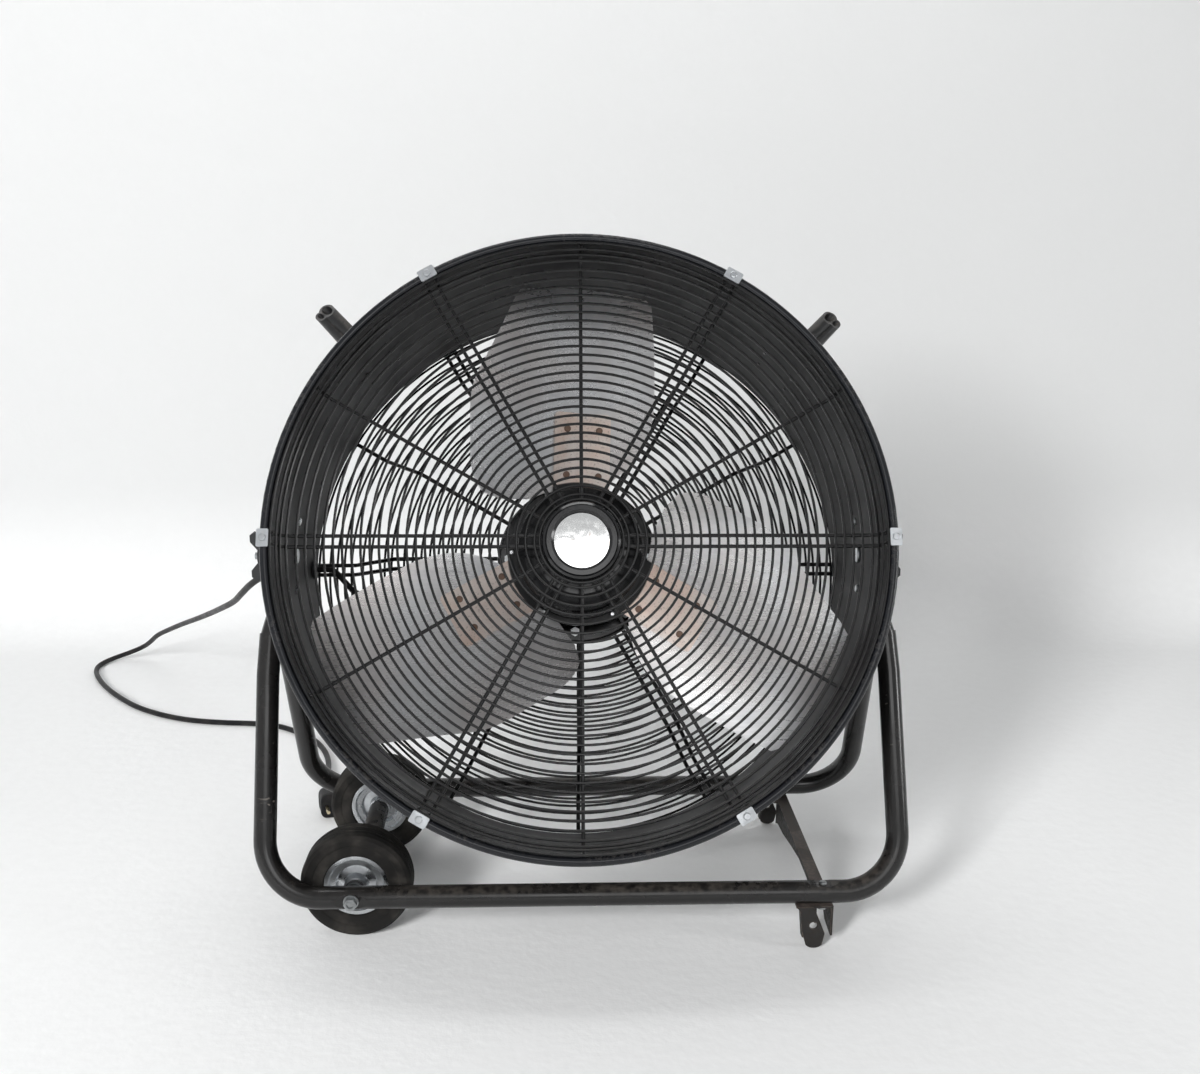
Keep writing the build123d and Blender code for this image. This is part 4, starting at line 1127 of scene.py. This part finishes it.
@dataclass
class Drum:
    """Rolled drum with its guards, clips, grips and pivot hardware."""

    plate_colour: Colour = (0.010, 0.0105, 0.014)
    wire_colour: Colour = (0.0040, 0.0040, 0.0042)
    grip_colour: Colour = (0.012, 0.012, 0.0125)
    nylon_colour: Colour = (0.016, 0.016, 0.017)
    lead_colour: Colour = (0.010, 0.010, 0.011)

    def dress(self, frame: dict) -> None:
        """Finish the shell, guards and the parts fixed to them.
        """
        dress(frame, DrumPaint().make(), "drum_shell")
        plate = Paint("plate_paint", self.plate_colour, 0.24, 0.05, 0.03 * MM, 0.12)
        dress(frame, plate.make(), "pivot_plates")
        wire = Paint("wire_paint", self.wire_colour, 0.28, 0.06, 0.02 * MM, 0.06)
        dress(frame, wire.make(), "front_grille", "rear_grille")
        clip = Zinc("clip_zinc", ZincTone.CLEAR, 0.36, 0.3).make()
        dress(frame, clip, "front_clips", "rear_clips")
        screw = Zinc("screw_zinc", ZincTone.CLEAR, 0.30, 0.5).make()
        dress(frame, screw, "front_clip_screws", "rear_clip_screws")
        dress(frame, screw, "pivot_plate_screws", "pivot_bolts")
        grip = Paint("grip_black", self.grip_colour, 0.34, peel=0.05 * MM, dust=0.5, rubbed=0.6)
        dress(frame, grip.make(), "grip_left", "grip_right", "grip_rivets")
        nylon = Nylon("black_nylon", self.nylon_colour, 0.46).make()
        dress(frame, nylon, "pivot_spacers", "cord_gland", "tilt_knob_left", "tilt_knob_right")
        lead = Rubber("lead_rubber", self.lead_colour, 0.5, 1500.0, 0.2).make()
        dress(frame, lead, "motor_lead")


@dataclass
class Badge:
    """Stepped moulded ring with a plain bright disc in the middle of the guard."""

    radius: float = 30.2 * MM
    back: float = 116.75 * MM
    rim: float = 119.3 * MM
    crown: float = 1.3 * MM
    ripple: float = 0.16 * MM
    rounding: float = 0.7 * MM
    face_colour: Colour = (0.93, 0.93, 0.92)
    ring_colour: Colour = (0.005, 0.005, 0.0055)

    def face(self) -> bpy.types.Object:
        """Lens: station = rim + crown * (1 - share^2) + a slow ripple that dies at the rim.

        Returns:
            The face, with its edge carried back into the ring.
        """
        share = np.concatenate([[0.02, 0.02], np.linspace(0.05, 0.97, 40), [0.99, 1.0, 1.0, 0.98]])
        turn = np.linspace(0.0, 2 * np.pi, 120, endpoint=False)[None, :]
        s = share[:, None]
        wave = np.sin(2.0 * turn + 5.0 * s) * np.sin(3.4 * np.pi * s + 0.8 * np.cos(turn))
        station = self.rim + self.crown * (1 - s**2) + self.ripple * wave * s * (1 - s)
        station[0] = self.back
        station[-1] = self.back
        station[-2] = station[-3] - self.rounding
        across = self.radius * s * np.cos(turn)
        rise = self.radius * s * np.sin(turn)
        grid = PIVOT + across[..., None] * DRUM_RIGHT + rise[..., None] * DRUM_UP
        grid = grid + station[..., None] * DRUM_FRONT
        return skin("badge_face", grid[1:], capped=True)

    def build(self, frame: dict) -> None:
        """Make the bright face and finish the ring.
        """
        piece = self.face()
        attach(piece, Body.DRUM.value)
        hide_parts("badge_disc")
        # The badge plate's brown swirls are painted reflections.
        settle(piece, Polished("badge_plate", self.face_colour, 0.12).make())
        dress(frame, Nylon("badge_ring_plastic", self.ring_colour, 0.12).make(), "badge_ring")


# ---- motor and rotor ----


@dataclass
class Motor:
    """Flange, stator, terminal housing and the fixed parts around them."""

    paint_colour: Colour = (0.0045, 0.0045, 0.005)
    iron_colour: Colour = (0.34, 0.33, 0.32)
    steel_colour: Colour = (0.62, 0.62, 0.63)
    copper_colour: Colour = (0.72, 0.33, 0.17)
    housing_colour: Colour = (0.018, 0.018, 0.019)
    knob_colour: Colour = (0.012, 0.012, 0.013)
    capacitor_colour: Colour = (0.70, 0.70, 0.71)
    laminations: Point = (1.0, 12.0, 1.0)
    turns: Point = (1.0, 9.0, 1.0)

    def dress(self, frame: dict) -> None:
        """Finish the fixed motor parts.
        """
        cast = Paint("motor_paint", self.paint_colour, 0.13, 0.04, 0.02 * MM, 0.04)
        dress(frame, cast.make(), "motor_flange", "rotor_can")
        bolt = Zinc("bolt_zinc", ZincTone.BRIGHT, 0.26, 0.3).make()
        dress(frame, bolt, "motor_mount_bolts", "spider_screws")
        iron = BareMetal("laminated_iron", self.iron_colour, 0.5, self.laminations, 300.0)
        dress(frame, iron.make(), "stator_core", "rotor_ring", "stator_tube")
        steel = BareMetal("ground_steel", self.steel_colour, 0.25).make()
        dress(frame, steel, "rotor_shaft", "bearing_front", "bearing_rear")
        copper = BareMetal("enamelled_copper", self.copper_colour, 0.35, self.turns, 700.0)
        dress(frame, copper.make(), "stator_windings")
        plastic = Nylon("housing_plastic", self.housing_colour, 0.5).make()
        dress(frame, plastic, "switch_housing", "switch_body")
        dress(frame, Nylon("knob_plastic", self.knob_colour, 0.34).make(), "speed_knob")
        dress(frame, BareMetal("capacitor_can", self.capacitor_colour, 0.34).make(), "capacitor")


@dataclass
class Rotor:
    """Three sheet blades riveted to the arms of the spider."""

    blade_colour: Colour = (0.78, 0.78, 0.79)
    # Warm tint on the blades: a painted reflection of warm surroundings.
    painted_reflection_colour: Colour = (0.67, 0.59, 0.55)
    rivet_colour: Colour = (0.26, 0.17, 0.13)

    def dress(self, frame: dict) -> None:
        """Finish the blades, their arms and rivets.
        """
        sheet = MillSheet("blade_aluminium", self.blade_colour, self.painted_reflection_colour, 0.55, 0.28)
        dress(frame, sheet.make(), "blade_1", "blade_2", "blade_3")
        dress(frame, SpiderPlate().make(), "spider")
        rivet = BareMetal("rivet_copper", self.rivet_colour, 0.42).make()
        dress(frame, rivet, "blade_rivets")


# ---- studio ----


@dataclass(frozen=True)
class Lamp:
    """Rectangular soft lamp that faces a point, with its power in watts."""

    name: str
    place: Point
    aim: Point
    size: tuple[float, float]
    power: float
    mirrored: bool = True

    def build(self) -> None:
        """Make the lamp; glossy surfaces show its face only if it is mirrored."""
        data = bpy.data.lights.new(self.name, "AREA")
        data.shape = "RECTANGLE"
        data.size, data.size_y = self.size
        data.energy = self.power
        lamp = bpy.data.objects.new(self.name, data)
        facing = (Vector(self.aim) - Vector(self.place)).to_track_quat("-Z", "Y")
        lamp.matrix_world = Matrix.Translation(self.place) @ facing.to_matrix().to_4x4()
        lamp.visible_glossy = self.mirrored
        bpy.context.scene.collection.objects.link(lamp)


@dataclass
class Studio:
    """Pale floor, a wall that curves up from it behind the fan, the sky and soft lamps."""

    half_width: float = 7.0
    floor_reach: float = 40.0
    cove_start: float = 0.89
    cove: float = 0.3
    wall_top: float = 5.0
    fill: float = 0.07
    overhead: float = 0.40
    falling: tuple[float, float] = (0.5, 0.9)
    lamps: tuple[Lamp, ...] = (
        Lamp("key_lamp", (-2.4, -3.9, 2.2), (0.0, 0.0, 0.4), (0.9, 1.8), 255.0, mirrored=False),
        Lamp("window_lamp", (2.5, -0.8, 0.8), (0.0, 0.0, 0.45), (0.4, 0.9), 12.0),
        Lamp("front_lamp", (0.25, -3.1, 1.7), (0.0, 0.0, 0.4), (1.6, 1.0), 12.0),
        Lamp("top_lamp", (-0.2, 0.1, 2.6), (-0.2, 0.1, 0.0), (1.6, 0.4), 9.0),
    )

    def sheet(
        self, name: str, half: float, y: np.ndarray, z: np.ndarray, paper: bpy.types.Material
    ) -> bpy.types.Object:
        """Sheet that carries a profile of y and z from one side to the other.

        Args:
            name: Name of the sheet.
            half: Half its width.
            y: Profile's distances to the back.
            z: Profile's heights.
            paper: Its finish.

        Returns:
            The sheet, marked as no part of the fan.
        """
        x = np.array([-half, half])
        grid = np.stack(np.broadcast_arrays(x[None, :], y[:, None], z[:, None]), axis=-1)
        faces = quads(len(y), 2, False, False)
        mesh = bpy.data.meshes.new(name)
        mesh.from_pydata(grid.reshape(-1, 3).tolist(), [], faces.tolist())
        mesh.polygons.foreach_set("use_smooth", np.ones(len(faces), bool))
        sheet = bpy.data.objects.new(name, mesh)
        bpy.context.scene.collection.objects.link(sheet)
        mesh.materials.append(paper)
        return sheet

    def backdrop(self) -> None:
        """Flat floor, and a wall that rises from it in a quarter circle of the cove radius.

        The wall is seen from its front only, and light passes it, so the floor behind is lit too.
        """
        paper = StudioPaper().make()
        ends = self.floor_reach * np.array([-1.0, 1.0])
        self.sheet("studio_floor", self.floor_reach, ends, np.zeros(2), paper)
        turn = np.linspace(0.0, np.pi / 2, 25)
        y = self.cove_start + self.cove * np.sin(turn)
        z = self.cove * (1 - np.cos(turn))
        y, z = np.append(y, y[-1]), np.append(z, self.wall_top)
        wall = self.sheet("studio_wall", self.half_width, y, z, paper)
        wall.visible_shadow = False

    def world(self) -> None:
        """Sky: an even fill lights matt surfaces, and rays see one that darkens overhead.

        The seen level falls from the horizon's to the overhead one as the ray's height rises.
        """
        world = bpy.data.worlds.new("studio_sky")
        bpy.context.scene.world = world
        world.use_nodes = True
        tree = world.node_tree
        tree.nodes.clear()
        out = tree.nodes.new("ShaderNodeOutputWorld")
        sky = tree.nodes.new("ShaderNodeBackground")
        sky.inputs["Color"].default_value = (*SKY_TINT, 1.0)
        rays = tree.nodes.new("ShaderNodeLightPath")
        either = tree.nodes.new("ShaderNodeMath")
        either.operation = "MAXIMUM"
        tree.links.new(rays.outputs["Is Glossy Ray"], either.inputs[0])
        tree.links.new(rays.outputs["Is Transmission Ray"], either.inputs[1])
        seen = tree.nodes.new("ShaderNodeMath")
        seen.operation = "MAXIMUM"
        tree.links.new(rays.outputs["Is Camera Ray"], seen.inputs[0])
        tree.links.new(either.outputs["Value"], seen.inputs[1])
        where = tree.nodes.new("ShaderNodeTexCoord")
        split = tree.nodes.new("ShaderNodeSeparateXYZ")
        tree.links.new(where.outputs["Generated"], split.inputs["Vector"])
        rise = tree.nodes.new("ShaderNodeMapRange")
        rise.interpolation_type = "SMOOTHSTEP"
        tree.links.new(split.outputs["Z"], rise.inputs["Value"])
        rise.inputs["From Min"].default_value, rise.inputs["From Max"].default_value = self.falling
        rise.inputs["To Min"].default_value = HORIZON_LEVEL
        rise.inputs["To Max"].default_value = self.overhead
        level = tree.nodes.new("ShaderNodeMapRange")
        tree.links.new(seen.outputs["Value"], level.inputs["Value"])
        level.inputs["To Min"].default_value = self.fill
        tree.links.new(rise.outputs["Result"], level.inputs["To Max"])
        tree.links.new(level.outputs["Result"], sky.inputs["Strength"])
        tree.links.new(sky.outputs["Background"], out.inputs["Surface"])

    def build(self) -> None:
        """Make the floor, the wall, the sky and the lamps."""
        self.backdrop()
        self.world()
        for lamp in self.lamps:
            lamp.build()
        bpy.context.scene.view_settings.view_transform = "Standard"


def main() -> None:
    """Load the frame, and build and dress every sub-assembly."""
    logging.basicConfig(level=logging.INFO, format="%(name)s: %(message)s")
    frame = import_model()
    Viewpoint().build()
    SupplyCord().build()
    Stand().dress(frame)
    WheelPair().dress(frame)
    Drum().dress(frame)
    Badge().build(frame)
    Motor().dress(frame)
    Rotor().dress(frame)
    Studio().build()


if __name__ == "__main__":
    main()
